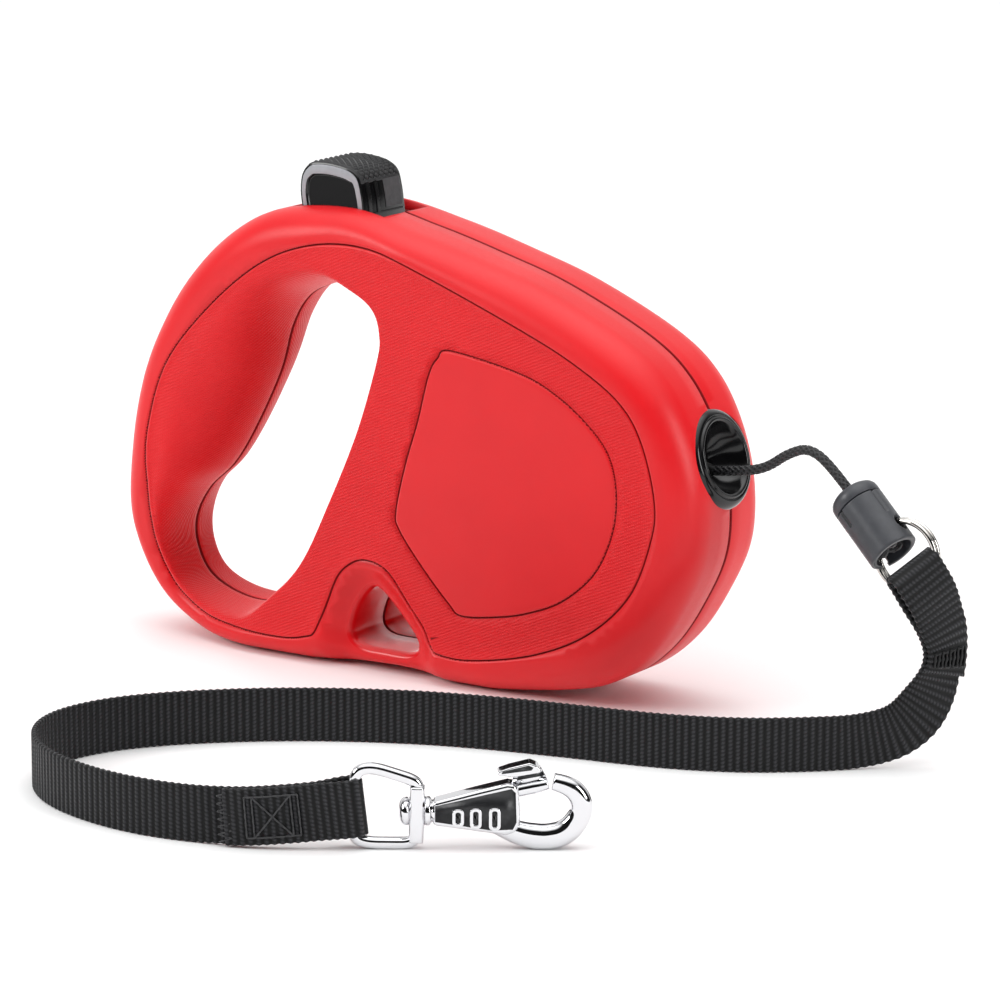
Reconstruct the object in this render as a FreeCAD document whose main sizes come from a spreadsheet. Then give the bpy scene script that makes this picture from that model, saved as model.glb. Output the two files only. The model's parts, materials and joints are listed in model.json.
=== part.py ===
"""Retractable dog leash, built from separate pieces in one frame.

Millimetres. X runs from the grip (-X) to the cord outlet (+X), Y is the thickness with the
near shell at -Y, and Z is up from the surface that the leash stands on. The casing's middle
is at X = 0 and Y = 0.
"""
import FreeCAD, Part
import math
import os

from FreeCAD import Placement, Rotation, Vector

doc = FreeCAD.newDocument("retractable_leash")
sheet = doc.addObject("Spreadsheet::Sheet", "Sizes")

SIZES = {
    # casing
    "half_thickness": 19.0, "wall": 2.4, "rim_radius": 10.0,
    "boss_radius": 3.6, "screw_bore": 1.25, "screw_radius": 1.2, "screw_head_radius": 2.7,
    "screw_head_height": 1.8, "screw_length": 24.0,
    # cord outlet
    "outlet_x": 81.2, "outlet_z": 62.9, "outlet_tilt": 17.5, "bush_radius": 12.3,
    "bush_length": 8.0, "bush_proud": 1.4, "bush_mouth": 9.6, "bush_throat": 3.0,
    # reel
    "reel_x": 32.0, "reel_z": 52.0, "axle_radius": 3.0, "running_gap": 0.05,
    "flange_radius": 38.0, "flange_thickness": 2.0, "tooth_root": 35.2, "tooth_count": 24,
    "tooth_width": 3.0, "hub_radius": 20.0, "coil_radius": 32.0, "coil_width": 16.0,
    "coil_near": -13.0, "sleeve_hub_radius": 6.5, "cup_radius": 29.0, "cup_wall": 1.6,
    "cup_near": 5.6, "cup_far": 16.4, "spring_strip": 0.7, "spring_turns": 7.0,
    "washer_radius": 6.0,
    # brake
    "key_half_width": 8.8, "pad_half_width": 7.0, "pad_depth": 1.8, "slot_half_width": 9.3,
    "carriage_low": 104.8, "carriage_high": 107.8, "pawl_near": 2.5, "pawl_width": 2.8,
    # lead
    "cord_diameter": 2.4, "sleeve_radius": 6.0, "sleeve_bore": 4.7, "sleeve_length": 18.5,
    "cap_length": 4.0, "knot_radius": 3.0, "ring_radius": 8.0, "ring_wire": 0.65,
    "strap_width": 13.0, "strap_thickness": 1.4,
    # trigger hook, seen in its own upright plane
    "hook_x": 68.8, "hook_y": -135.8, "hook_heading": 34.0, "swivel_height": 8.4,
    "eye_wire": 1.3, "pin_radius": 1.5, "rivet_radius": 3.1, "collar_radius": 3.2,
    "hook_half_thickness": 2.6, "bolt_radius": 1.6, "bolt_slope": 12.1,
}
for row, (alias, number) in enumerate(SIZES.items(), start=1):
    sheet.set("A%d" % row, alias)
    sheet.set("B%d" % row, str(number))
    sheet.setAlias("B%d" % row, alias)
doc.recompute()


def size(alias):
    """A driving dimension, as the sheet holds it."""
    return float(getattr(sheet, alias))


# ---------------------------------------------------------------- helpers

NODES = {}
X_AXIS = Vector(1, 0, 0)
Y_AXIS = Vector(0, 1, 0)
Z_AXIS = Vector(0, 0, 1)


def along(base, direction):
    """A placement whose own Z points along direction."""
    return Placement(base, Rotation(Z_AXIS, direction))


def bind(thing, **expressions):
    """Bind properties of a document object to cells of the sheet."""
    for name, expression in expressions.items():
        words = expression.replace("(", "( ").replace(")", " )").split(" ")
        cells = ["Sizes." + word if word in SIZES else word for word in words]
        thing.setExpression(name, " ".join(cells))


def cylinder(name, radius, height, place):
    """A round bar, its radius and height given as expressions of the sheet's cells."""
    thing = doc.addObject("Part::Cylinder", name)
    bind(thing, Radius=radius, Height=height)
    thing.Placement = place
    return thing


def cone(name, first, second, height, place):
    """A tapered bar."""
    thing = doc.addObject("Part::Cone", name)
    bind(thing, Radius1=first, Radius2=second, Height=height)
    thing.Placement = place
    return thing


def torus(name, ring, wire, place):
    """A round ring of round wire."""
    thing = doc.addObject("Part::Torus", name)
    bind(thing, Radius1=ring, Radius2=wire)
    thing.Placement = place
    return thing


def box(name, low, high):
    """A plain box between two corners."""
    thing = doc.addObject("Part::Box", name)
    thing.Length, thing.Width, thing.Height = high[0] - low[0], high[1] - low[1], high[2] - low[2]
    thing.Placement = Placement(Vector(*low), Rotation())
    return thing


def feature(name, shape, place=None):
    """A freeform piece whose shape comes from Part's own functions."""
    thing = doc.addObject("Part::Feature", name)
    thing.Shape = shape
    if place is not None:
        thing.Placement = place
    return thing


def fuse(name, *items):
    """One solid from several."""
    thing = doc.addObject("Part::MultiFuse", name)
    thing.Shapes = list(items)
    return thing


def cut(name, base, *tools):
    """The base with every tool taken away."""
    thing = doc.addObject("Part::Cut", name)
    thing.Base = base
    thing.Tool = tools[0] if len(tools) == 1 else fuse(name + "_tools", *tools)
    return thing


def node(label, thing):
    """Name a finished sub-part: the label is its file's name."""
    thing.Label = label
    NODES[label] = thing
    return thing


def loop_wire(points, level=0.0):
    """A smooth closed curve through (x, z) points in the plane Y = level.

    The curve is cut into four lengths, so that the walls made from it have no seam.
    """
    curve = Part.BSplineCurve()
    curve.interpolate(Points=[Vector(x, level, z) for x, z in points], PeriodicFlag=True)
    first, last = curve.FirstParameter, curve.LastParameter
    edges = []
    for quarter in range(4):
        length = curve.copy()
        length.segment(first + (last - first) * quarter / 4, first + (last - first) * (quarter + 1) / 4)
        edges.append(length.toShape())
    return Part.Wire(edges)


def prism(points, low, high):
    """A solid between Y = low and Y = high inside a smooth closed curve."""
    return Part.makeLoft([loop_wire(points, low), loop_wire(points, high)], True, True)


def domed(points, half, rim, side):
    """Half of a rounded slab: its wall stands straight, then leans in round a rim radius."""
    wires = [loop_wire(points, 0.0)]
    for step in range(5):
        lean = math.radians(90.0 * step / 4)
        moved = grown(points, -rim * (1 - math.cos(lean)))
        wires.append(loop_wire(moved, side * (half - rim + rim * math.sin(lean))))
    return Part.makeLoft(wires, True, True)


def polygon_face(points):
    """A flat face in the plane Y = 0 with straight sides."""
    corners = [Vector(x, 0, z) for x, z in points]
    return Part.Face(Part.makePolygon(corners + corners[:1]))


def slab(face, low, high):
    """A face from the plane Y = 0 made into a plate from Y = low to Y = high."""
    plate = face.extrude(Vector(0, high - low, 0))
    plate.translate(Vector(0, low, 0))
    return plate


def grown(points, distance):
    """Closed-curve points moved out by distance, or in where it is negative."""
    moved = []
    for index, (x, z) in enumerate(points):
        before = points[index - 1]
        after = points[(index + 1) % len(points)]
        run_x, run_z = after[0] - before[0], after[1] - before[1]
        run = math.hypot(run_x, run_z)
        moved.append((x + distance * run_z / run, z - distance * run_x / run))
    return moved


def rounded_path(name, points):
    """A wire of straight runs joined by tangent arcs, as large as the runs allow."""
    edges = []
    start = points[0]
    radii = []
    for before, corner, after in zip(points, points[1:], points[2:]):
        back, ahead = (before - corner), (after - corner)
        shorter = min(back.Length, ahead.Length)
        half_turn = (math.pi - back.getAngle(ahead)) / 2
        reach = 0.45 * shorter
        radius = reach / math.tan(half_turn)
        radii.append(radius)
        back.normalize()
        ahead.normalize()
        first, last = corner + back * reach, corner + ahead * reach
        inward = back + ahead
        inward.normalize()
        middle = corner + inward * (radius / math.cos(half_turn) - radius)
        edges.append(Part.LineSegment(start, first).toShape())
        edges.append(Part.Arc(first, middle, last).toShape())
        start = last
    edges.append(Part.LineSegment(start, points[-1]).toShape())
    wire = Part.Wire(edges)
    print(name, "length %.1f" % wire.Length, "arc radii", ["%.1f" % radius for radius in radii])
    return wire


def round_tube(wire, radius):
    """A solid tube of circular section along a wire."""
    edge = wire.Edges[0]
    start = edge.valueAt(edge.FirstParameter)
    heading = edge.tangentAt(edge.FirstParameter)
    circle = Part.Wire(Part.makeCircle(radius, start, heading))
    return wire.makePipeShell([circle], True, False)


def ribbon(wire, across, normal, width, thickness):
    """A flat strip along a wire: its width lies along across at the start of the wire."""
    start = wire.Edges[0].valueAt(wire.Edges[0].FirstParameter)
    side, face = across * (width / 2), normal * (thickness / 2)
    corners = [start + side + face, start + side - face, start - side - face, start - side + face]
    section = Part.makePolygon(corners + corners[:1])
    return wire.makePipeShell([section], True, False)


# ---------------------------------------------------------------- casing

# The casing's outline at the parting plane, as (x, z).
OUTLINE = [
    (83.5, 54.9), (79.9, 68.9), (72.8, 81.1), (61.6, 90.0), (38.8, 100.3), (19.4, 106.2),
    (0.7, 111.0), (-21.2, 115.0), (-46.1, 110.7), (-66.9, 93.9), (-80.7, 69.3), (-86.3, 39.6),
    (-84.9, 22.9), (-77.3, 9.6), (-62.8, 1.9), (-45.3, -0.15), (-31.0, -0.15), (-8.7, 1.5),
    (0.7, 1.4), (12.0, 0.1), (23.0, -0.15), (44.5, 2.7), (58.2, 6.7), (69.2, 15.4),
    (77.2, 27.1), (83.0, 40.4),
]
# The grip opening, where the fingers go.
GRIP_HOLE = [
    (-32.0, 93.2), (-38.6, 89.4), (-43.4, 81.9), (-47.3, 69.7), (-55.1, 54.5), (-62.0, 44.1),
    (-69.9, 36.7), (-74.4, 28.8), (-74.5, 21.5), (-70.2, 14.0), (-60.5, 9.7), (-50.0, 9.6),
    (-41.4, 16.5), (-31.5, 26.6), (-22.4, 44.0), (-13.9, 62.6), (-7.7, 80.0), (-6.7, 86.0),
    (-8.5, 90.9), (-14.0, 94.0), (-22.0, 95.4),
]
# The three-cornered eyelet under the reel, for tying on an accessory.
EYELET = [
    (-9.3, 22.4), (-12.6, 19.6), (-15.4, 13.6), (-16.2, 8.6), (-13.0, 6.2), (-6.0, 5.9),
    (0.8, 6.1), (3.4, 8.4), (0.6, 13.4), (-5.6, 20.6),
]
BOSSES = [(-65.0, 62.0), (-50.0, 99.0), (-27.0, 12.5), (65.2, 22.2), (62.6, 82.2)]

T = size("half_thickness")
WALL = size("wall")


def casing_half(side):
    """One shell of the casing, on the side Y < 0 (-1) or Y > 0 (+1) of the parting plane."""
    rim = size("rim_radius")
    depth = T - WALL
    outer = domed(OUTLINE, T, rim, side)
    inner = domed(grown(OUTLINE, -WALL), depth, rim - WALL, side)
    for opening in (GRIP_HOLE, EYELET):
        outer = outer.cut(prism(opening, -side, side * (T + 1)))
        inner = inner.cut(prism(grown(opening, WALL), -side, side * (T + 1)))
    bosses = [Part.makeCylinder(size("boss_radius"), T, Vector(x, 0, z), Y_AXIS * side)
              for x, z in BOSSES]
    axle_rest = Vector(size("reel_x"), side * (depth - 1.0), size("reel_z"))
    bosses.append(Part.makeCylinder(size("washer_radius"), 2.0, axle_rest, Y_AXIS * side))
    for boss in bosses:
        inner = inner.cut(boss)
    return outer.cut(inner)


def outlet_heading():
    """The direction in which the cord outlet faces."""
    tilt = math.radians(size("outlet_tilt"))
    return Vector(math.cos(tilt), 0, math.sin(tilt))


OUTLET = Vector(size("outlet_x"), 0, size("outlet_z"))
FACING = outlet_heading()
REEL = Vector(size("reel_x"), 0, size("reel_z"))
BUSH_START = OUTLET - FACING * (size("bush_length") - size("bush_proud"))


def make_casing():
    """Both shells, their screws and the cord outlet bush."""
    half_slot = size("slot_half_width")
    floor_cut = box("below_floor", (-100, -30, -5), (100, 30, 0))
    slot = box("key_slot", (-37.0, -half_slot, 108.0), (-9.5, half_slot, 120.0))
    bush_seat = cylinder("bush_seat", "bush_radius + running_gap", "bush_length + 30",
                         along(BUSH_START, FACING))
    axle_seat = cylinder("axle_seat", "axle_radius", "2 * half_thickness - 2 * wall",
                         along(REEL - Y_AXIS * (T - WALL), Y_AXIS))
    wells, bores = [], []
    for index, (x, z) in enumerate(BOSSES):
        seat = Vector(x, T - 4.0, z)
        wells.append(cylinder("screw_well_%d" % index, "screw_head_radius + 0.3", "10.0",
                              along(seat, Y_AXIS)))
        bores.append(cylinder("screw_bore_%d" % index, "screw_bore", "screw_length + 4.0",
                              along(seat - Y_AXIS * size("screw_length"), Y_AXIS)))
    for label, side in (("casing_near", -1), ("casing_far", 1)):
        body = feature(label + "_moulding", casing_half(side))
        tools = [floor_cut, slot, bush_seat, axle_seat] + bores + (wells if side > 0 else [])
        node(label, cut(label + "_cut", body, *tools))

    screws = []
    for index, (x, z) in enumerate(BOSSES):
        seat = Vector(x, T - 4.0, z)
        head = cylinder("screw_head_%d" % index, "screw_head_radius", "screw_head_height",
                        along(seat, Y_AXIS))
        shank = cylinder("screw_shank_%d" % index, "screw_radius", "screw_length",
                         along(seat, Y_AXIS * -1))
        recess = box("screw_recess_%d" % index, (x - 1.8, T - 4.0 + 1.0, z - 0.35),
                     (x + 1.8, T, z + 0.35))
        cross = box("screw_cross_%d" % index, (x - 0.35, T - 4.0 + 1.0, z - 1.8),
                    (x + 0.35, T, z + 1.8))
        screws.append(cut("screw_%d" % index, fuse("screw_blank_%d" % index, head, shank),
                          recess, cross))
    group = doc.addObject("Part::Compound", "screw_group")
    group.Links = screws
    node("casing_screws", group)

    blank = cylinder("bush_blank", "bush_radius", "bush_length", along(BUSH_START, FACING))
    funnel = cone("bush_funnel", "bush_throat", "bush_mouth", "bush_length - 1.0",
                  along(BUSH_START + FACING, FACING))
    throat = cylinder("bush_bore", "bush_throat", "bush_length", along(BUSH_START, FACING))
    node("cord_outlet_bush", cut("bush_cut", blank, funnel, throat))


# ---------------------------------------------------------------- reel

COIL_NEAR = size("coil_near")
COIL_FAR = COIL_NEAR + size("coil_width")
FLANGE = size("flange_thickness")


def at_reel(y):
    """A point on the reel's axis."""
    return Vector(REEL.x, y, REEL.z)


def make_reel():
    """Axle, reel with its ratchet flange, cover flange, wound cord and return spring."""
    node("reel_axle", cylinder("axle_pin", "axle_radius", "2 * half_thickness - 2 * wall - 0.4",
                               along(at_reel(0.2 - T + WALL), Y_AXIS)))
    bore = "axle_radius + running_gap"
    inner_face = T - WALL - 1.0
    for name, near in (("washer_near", -inner_face + 0.05), ("washer_far", inner_face - 0.55)):
        ring = cylinder(name + "_blank", "washer_radius", "0.5", along(at_reel(near), Y_AXIS))
        hole = cylinder(name + "_hole", bore, "0.5", along(at_reel(near), Y_AXIS))
        node("thrust_" + name, cut(name + "_cut", ring, hole))

    notches = []
    count = int(size("tooth_count"))
    half_tooth = size("tooth_width") / 2
    outer, root = size("flange_radius") + 1, size("tooth_root")
    pawl_angle = math.atan2(31.8, -16.0)
    for index in range(count):
        turn = pawl_angle + 2 * math.pi * index / count
        pitch = math.pi * outer / count - half_tooth
        corners = [(root, -pitch), (outer, -pitch), (outer, pitch), (root, pitch)]
        notches.append(polygon_face([
            (REEL.x + r * math.cos(turn) - w * math.sin(turn),
             REEL.z + r * math.sin(turn) + w * math.cos(turn)) for r, w in corners]))
    teeth = feature("tooth_gaps", Part.makeCompound(
        [slab(notch, COIL_FAR, COIL_FAR + FLANGE) for notch in notches]))
    flange = cylinder("drum_flange", "flange_radius", "flange_thickness",
                      along(at_reel(COIL_FAR), Y_AXIS))
    hub = cylinder("drum_hub", "hub_radius", "coil_width", along(at_reel(COIL_NEAR), Y_AXIS))
    neck = cylinder("drum_neck", "sleeve_hub_radius", "11.0", along(at_reel(COIL_FAR), Y_AXIS))
    hollow = cylinder("drum_hollow", "hub_radius - 2.0", "coil_width - 2.0",
                      along(at_reel(COIL_NEAR), Y_AXIS))
    core = cylinder("drum_core", "sleeve_hub_radius", "coil_width", along(at_reel(COIL_NEAR), Y_AXIS))
    shaft = cylinder("drum_bore", bore, "40.0", along(at_reel(COIL_NEAR - 5), Y_AXIS))
    drum = fuse("drum_blank", cut("drum_shell", fuse("drum_outer", flange, hub, neck), hollow, teeth),
                core)
    node("reel_drum", cut("drum_cut", drum, shaft))

    cover = cylinder("cover_disc", "flange_radius", "flange_thickness",
                     along(at_reel(COIL_NEAR - FLANGE), Y_AXIS))
    hole = cylinder("cover_bore", bore, "flange_thickness", along(at_reel(COIL_NEAR - FLANGE), Y_AXIS))
    windows = []
    for index in range(6):
        turn = math.radians(60.0 * index)
        centre = at_reel(COIL_NEAR - FLANGE) + Vector(math.cos(turn), 0, math.sin(turn)) * 13.0
        windows.append(cylinder("cover_window_%d" % index, "4.0", "flange_thickness",
                                along(centre, Y_AXIS)))
    node("reel_cover", cut("cover_cut", cover, hole, *windows))

    coil = cylinder("coil_blank", "coil_radius", "coil_width", along(at_reel(COIL_NEAR), Y_AXIS))
    middle = cylinder("coil_middle", "hub_radius", "coil_width", along(at_reel(COIL_NEAR), Y_AXIS))
    node("wound_cord", cut("coil_cut", coil, middle))

    cup = cylinder("cup_blank", "cup_radius", "cup_far - cup_near", along(at_reel(size("cup_near")),
                                                                         Y_AXIS))
    inside = cylinder("cup_inside", "cup_radius - cup_wall", "cup_far - cup_near",
                      along(at_reel(size("cup_near") - size("cup_wall")), Y_AXIS))
    opening = cylinder("cup_opening", "washer_radius + 0.6", "20.0", along(at_reel(0), Y_AXIS))
    node("spring_cup", cut("cup_cut", cup, inside, opening))

    node("reel_spring", feature("spring_strip", spiral_spring()))


def spiral_spring():
    """A flat strip wound from the drum's neck out to the cup, as one thin plate on edge."""
    turns = size("spring_turns")
    first = size("sleeve_hub_radius") + 0.3 + size("spring_strip") / 2
    last = size("cup_radius") - size("cup_wall") - 0.3 - size("spring_strip") / 2
    half = size("spring_strip") / 2
    steps = int(turns * 12)
    sides = []
    for offset in (-half, half):
        points = []
        for step in range(steps + 1):
            share = step / steps
            angle = 2 * math.pi * turns * share
            radius = first + (last - first) * share + offset
            points.append(Vector(REEL.x + radius * math.cos(angle), 0,
                                 REEL.z + radius * math.sin(angle)))
        curve = Part.BSplineCurve()
        curve.interpolate(Points=points)
        sides.append(curve)
    ends = [Part.LineSegment(sides[0].StartPoint, sides[1].StartPoint).toShape(),
            Part.LineSegment(sides[0].EndPoint, sides[1].EndPoint).toShape()]
    wire = Part.Wire(Part.__sortEdges__([side.toShape() for side in sides] + ends))
    return slab(Part.Face(wire), 6.4, 13.4)


# ---------------------------------------------------------------- brake

# The thumb key's side outline, as (x, z).
KEY_FOOT = 107.85
KEY_TOP = [(-34.7, 113.0), (-35.3, 117.6), (-34.7, 122.0), (-32.2, 124.8), (-28.6, 125.5),
           (-24.2, 125.3), (-20.0, 124.4), (-17.3, 122.4), (-16.0, 118.2), (-15.3, 113.0)]


def key_profile(drop):
    """The key's side outline with its crown lowered by drop."""
    crown = [Vector(x, 0, z - drop) for x, z in KEY_TOP]
    curve = Part.BSplineCurve()
    curve.interpolate(Points=crown)
    foot_back = Vector(crown[0].x, 0, KEY_FOOT)
    foot_front = Vector(crown[-1].x, 0, KEY_FOOT)
    edges = [curve.toShape(), Part.LineSegment(crown[-1], foot_front).toShape(),
             Part.LineSegment(foot_front, foot_back).toShape(),
             Part.LineSegment(foot_back, crown[0]).toShape()]
    return Part.Face(Part.Wire(edges))


def compression_spring(radius, wire_radius, length, turns):
    """A helical spring standing on the origin along its own Z."""
    free = length - 2 * wire_radius
    helix = Part.makeLongHelix(free / turns, free, radius)
    helix.translate(Vector(0, 0, wire_radius))
    circle = Part.Wire(Part.makeCircle(wire_radius, Vector(radius, 0, wire_radius), Y_AXIS))
    return Part.Wire(helix.Edges).makePipeShell([circle], True, True)


def make_brake():
    """The thumb key with its soft pad, the carriage, the pawl and the return spring."""
    half = size("key_half_width")
    whole = slab(key_profile(0.0), -half, half)
    lowered = slab(key_profile(size("pad_depth")), -half - 1, half + 1)
    band = Part.makeBox(16.0, 2 * size("pad_half_width"), 12.0,
                        Vector(-33.6, -size("pad_half_width"), 116.0))
    soft = whole.cut(lowered).common(band)
    node("thumb_pad", feature("pad_moulding", soft))
    hollow = Part.makeBox(15.6, 2 * half - 4.0, 9.0, Vector(-32.8, -half + 2.0, KEY_FOOT))
    node("thumb_key", feature("key_moulding", whole.cut(soft).cut(hollow)))

    low, high = size("carriage_low"), size("carriage_high")
    plate = box("carriage_plate", (-41.0, -8.4, low), (-6.0, 8.4, high))
    peg = cylinder("carriage_peg", "2.0", "1.6", along(Vector(-24.0, 0, low - 1.6), Z_AXIS))
    node("brake_carriage", fuse("carriage_body", plate, peg))

    near = size("pawl_near")
    arm = polygon_face([(-6.0, low + 0.1), (-6.0, high - 0.1), (17.3, 102.4), (17.3, 88.4),
                        (16.0, 87.8), (14.7, 88.4), (14.7, 99.4), (6.0, 101.6)])
    node("brake_pawl", feature("pawl_plate", slab(arm, near, near + size("pawl_width"))))

    coil = compression_spring(3.0, 0.35, low - 98.3, 5)
    node("brake_spring", feature("brake_coil", coil, Placement(Vector(-24.0, 0, 98.25), Rotation())))


# ---------------------------------------------------------------- lead

# The braided cord from the outlet's throat to its knot in the stopper sleeve.
CORD_ROUTE = [
    (79.0, 0.0, 59.6), (87.5, -0.5, 60.6), (94.5, -1.5, 62.6), (101.5, -3.0, 67.6),
    (108.5, -4.8, 69.8), (114.5, -6.2, 66.2), (123.7, -8.7, 58.0),
]
# The webbing strap's middle line, from the split ring down to the floor, round the loop in
# front of the casing and to the eye of the trigger hook.
STRAP_ROUTE = [
    (139.4, -13.7, 46.8), (144.7, -8.6, 38.5), (146.7, -6.7, 28.0), (145.7, -7.6, 17.5),
    (140.1, -13.0, 9.0), (131.9, -21.0, 6.5), (122.5, -30.0, 6.5), (110.0, -39.5, 6.5),
    (92.5, -46.8, 6.5), (66.0, -52.0, 6.5), (42.0, -58.5, 6.5), (24.5, -66.5, 6.5),
    (9.5, -75.5, 6.5), (-3.0, -85.5, 6.5), (-13.5, -96.0, 6.5), (-21.5, -108.0, 6.5),
    (-24.5, -122.5, 6.5), (-19.5, -136.0, 6.5), (-8.0, -146.5, 6.5), (8.0, -152.3, 6.5),
    (25.0, -153.8, 6.5), (41.0, -150.8, 6.5), (55.5, -145.0, 7.5), (69.3, -135.4, 9.4),
]
SLEEVE_TOP = Vector(120.0, -7.8, 61.2)
SLEEVE_END = Vector(133.7, -11.5, 49.4)
RING_CENTRE = Vector(137.6, -12.0, 49.5)
RING_HEADING = -4.0


def make_lead():
    """Inner cord run, free cord, stopper sleeve, knot, split ring and webbing strap."""
    radius = size("cord_diameter") / 2
    tangent = Vector(53.4, -3.0, 77.8)
    throat = Vector(*CORD_ROUTE[0])
    bend = Vector(73.0, -0.4, 61.4)
    inner = round_tube(rounded_path("inner_cord", [tangent, bend, throat]), radius)
    node("inner_cord_run", feature("inner_cord_tube", inner))

    wire = rounded_path("free_cord", [Vector(*point) for point in CORD_ROUTE])
    tube = round_tube(wire, radius)
    print("free_cord volume ratio %.3f" % (tube.Volume / (wire.Length * math.pi * radius ** 2)))
    node("free_cord", feature("free_cord_tube", tube))

    heading = SLEEVE_END - SLEEVE_TOP
    heading.normalize()
    level = Vector(math.cos(math.radians(RING_HEADING)), math.sin(math.radians(RING_HEADING)), 0)
    ring_normal = level.cross(Z_AXIS)
    cap_end = SLEEVE_TOP + heading * size("cap_length")
    dome = cone("cap_dome", "sleeve_radius - 1.4", "sleeve_radius", "1.4", along(SLEEVE_TOP, heading))
    drum = cylinder("cap_drum", "sleeve_radius", "cap_length - 1.4",
                    along(SLEEVE_TOP + heading * 1.4, heading))
    hole = cylinder("cap_hole", "cord_diameter / 2 + 0.35", "cap_length + 2.0",
                    along(SLEEVE_TOP - heading, heading))
    node("sleeve_cap", cut("cap_cut", fuse("cap_blank", dome, drum), hole))
    tube_length = "sleeve_length - cap_length"
    outside = cylinder("sleeve_outside", "sleeve_radius", tube_length, along(cap_end, heading))
    inside = cylinder("sleeve_inside", "sleeve_bore", tube_length, along(cap_end, heading))
    slot = torus("ring_slot", "ring_radius", "1.5", along(RING_CENTRE, ring_normal))
    node("stopper_sleeve", cut("sleeve_cut", outside, inside, slot))

    knot = doc.addObject("Part::Sphere", "knot_ball")
    bind(knot, Radius="knot_radius")
    knot.Placement = Placement(SLEEVE_TOP + heading * 8.0, Rotation())
    node("cord_knot", knot)

    turns = [torus("ring_turn_%d" % index, "ring_radius", "ring_wire",
                   along(RING_CENTRE + ring_normal * offset, ring_normal))
             for index, offset in enumerate((-0.5, 0.5))]
    node("split_ring", fuse("ring_turns", *turns))
    make_strap(slot)


def make_strap(ring_clearance):
    """The strap in two stretches, on edge along the floor and up to the ring, and its sewn ends."""
    width, thick = size("strap_width"), size("strap_thickness")
    points = [Vector(*point) for point in STRAP_ROUTE]
    last_floor = points[6]
    level = points[4] - last_floor
    level.z = 0
    level.normalize()
    normal = level.cross(Z_AXIS)
    rise = [last_floor + level * (point - last_floor).dot(level) + Z_AXIS * (point.z - last_floor.z)
            for point in points[:6]]
    rise_wire = rounded_path("strap_rise", rise + [last_floor])
    start = rise[1] - rise[0]
    start.normalize()
    up_band = ribbon(rise_wire, start.cross(normal), normal, width, thick)

    floor = [Vector(point.x, point.y, width / 2) for point in points[6:-1]]
    floor_wire = rounded_path("strap_floor", floor)
    side = floor[1] - floor[0]
    side.normalize()
    floor_band = ribbon(floor_wire, Z_AXIS, side.cross(Z_AXIS), width, thick)
    # The two stretches share the corner where the strap starts to rise.
    corner = Part.makeCylinder(thick / 2, width, Vector(last_floor.x, last_floor.y, 0))
    strap = up_band.fuse([floor_band, corner])
    node("webbing_strap", cut("strap_cut", feature("strap_band", strap), ring_clearance))

    # Doubled end at the ring: a second ply on the near side, folded over the ring's wire.
    back = normal * -(thick + 0.02)
    if back.y > 0:
        back = back * -1
    ply = [point + back for point in rise[:4]]
    ply_wire = rounded_path("ring_ply", ply)
    second = ribbon(ply_wire, start.cross(normal), normal, width, thick)
    node("strap_fold_at_ring", cut("ring_ply_cut", feature("ring_ply", second), ring_clearance))

    # Doubled end at the hook: two plies that close round the eye's upright bar.
    heading = hook_heading()
    bar = HOOK + heading * 0.7
    low = 2.9
    ply_side = heading.cross(Z_AXIS)
    plate = Part.makeBox(18.0, 2 * thick, width)
    frame = FreeCAD.Matrix(-heading.x, ply_side.x, 0, bar.x, -heading.y, ply_side.y, 0, bar.y,
                           0, 0, 1, low, 0, 0, 0, 1)
    plate.translate(Vector(0, -thick, 0))
    plate = plate.transformGeometry(frame)
    wrap = Part.makeCylinder(size("eye_wire") + 0.15 + thick, width, Vector(bar.x, bar.y, low))
    clear = Part.makeCylinder(size("eye_wire") + 0.12, width, Vector(bar.x, bar.y, low))
    main = feature("hook_ply", plate.fuse(wrap).cut(clear))
    around_eye = in_hook("eye_clearance", round_tube(eye_path(), size("eye_wire") + 0.15))
    node("strap_fold_at_hook", cut("hook_ply_cut", main, feature("strap_band_copy", strap), around_eye))


# ---------------------------------------------------------------- trigger hook

HOOK = Vector(size("hook_x"), size("hook_y"), 0)


def hook_heading():
    """The level direction in which the trigger hook points."""
    turn = math.radians(size("hook_heading"))
    return Vector(math.cos(turn), math.sin(turn), 0)


def hook_place():
    """The hook's own frame: X ahead, Z up, Y across its thickness."""
    return Placement(HOOK, Rotation(Z_AXIS, size("hook_heading")))


def in_hook(name, shape):
    """A feature modelled in the hook's own frame."""
    return feature(name, shape, hook_place())


def eye_path():
    """The middle line of the swivel eye's wire, in the hook's own frame."""
    centre_line = [(0.7, 9.5), (0.7, 14.8), (3.6, 18.2), (14.4, 14.9), (14.4, 1.3), (3.4, 1.3),
                   (0.7, 3.4), (0.7, 9.5)]
    return rounded_path("swivel_eye", [Vector(x, 0, z) for x, z in centre_line])


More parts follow.
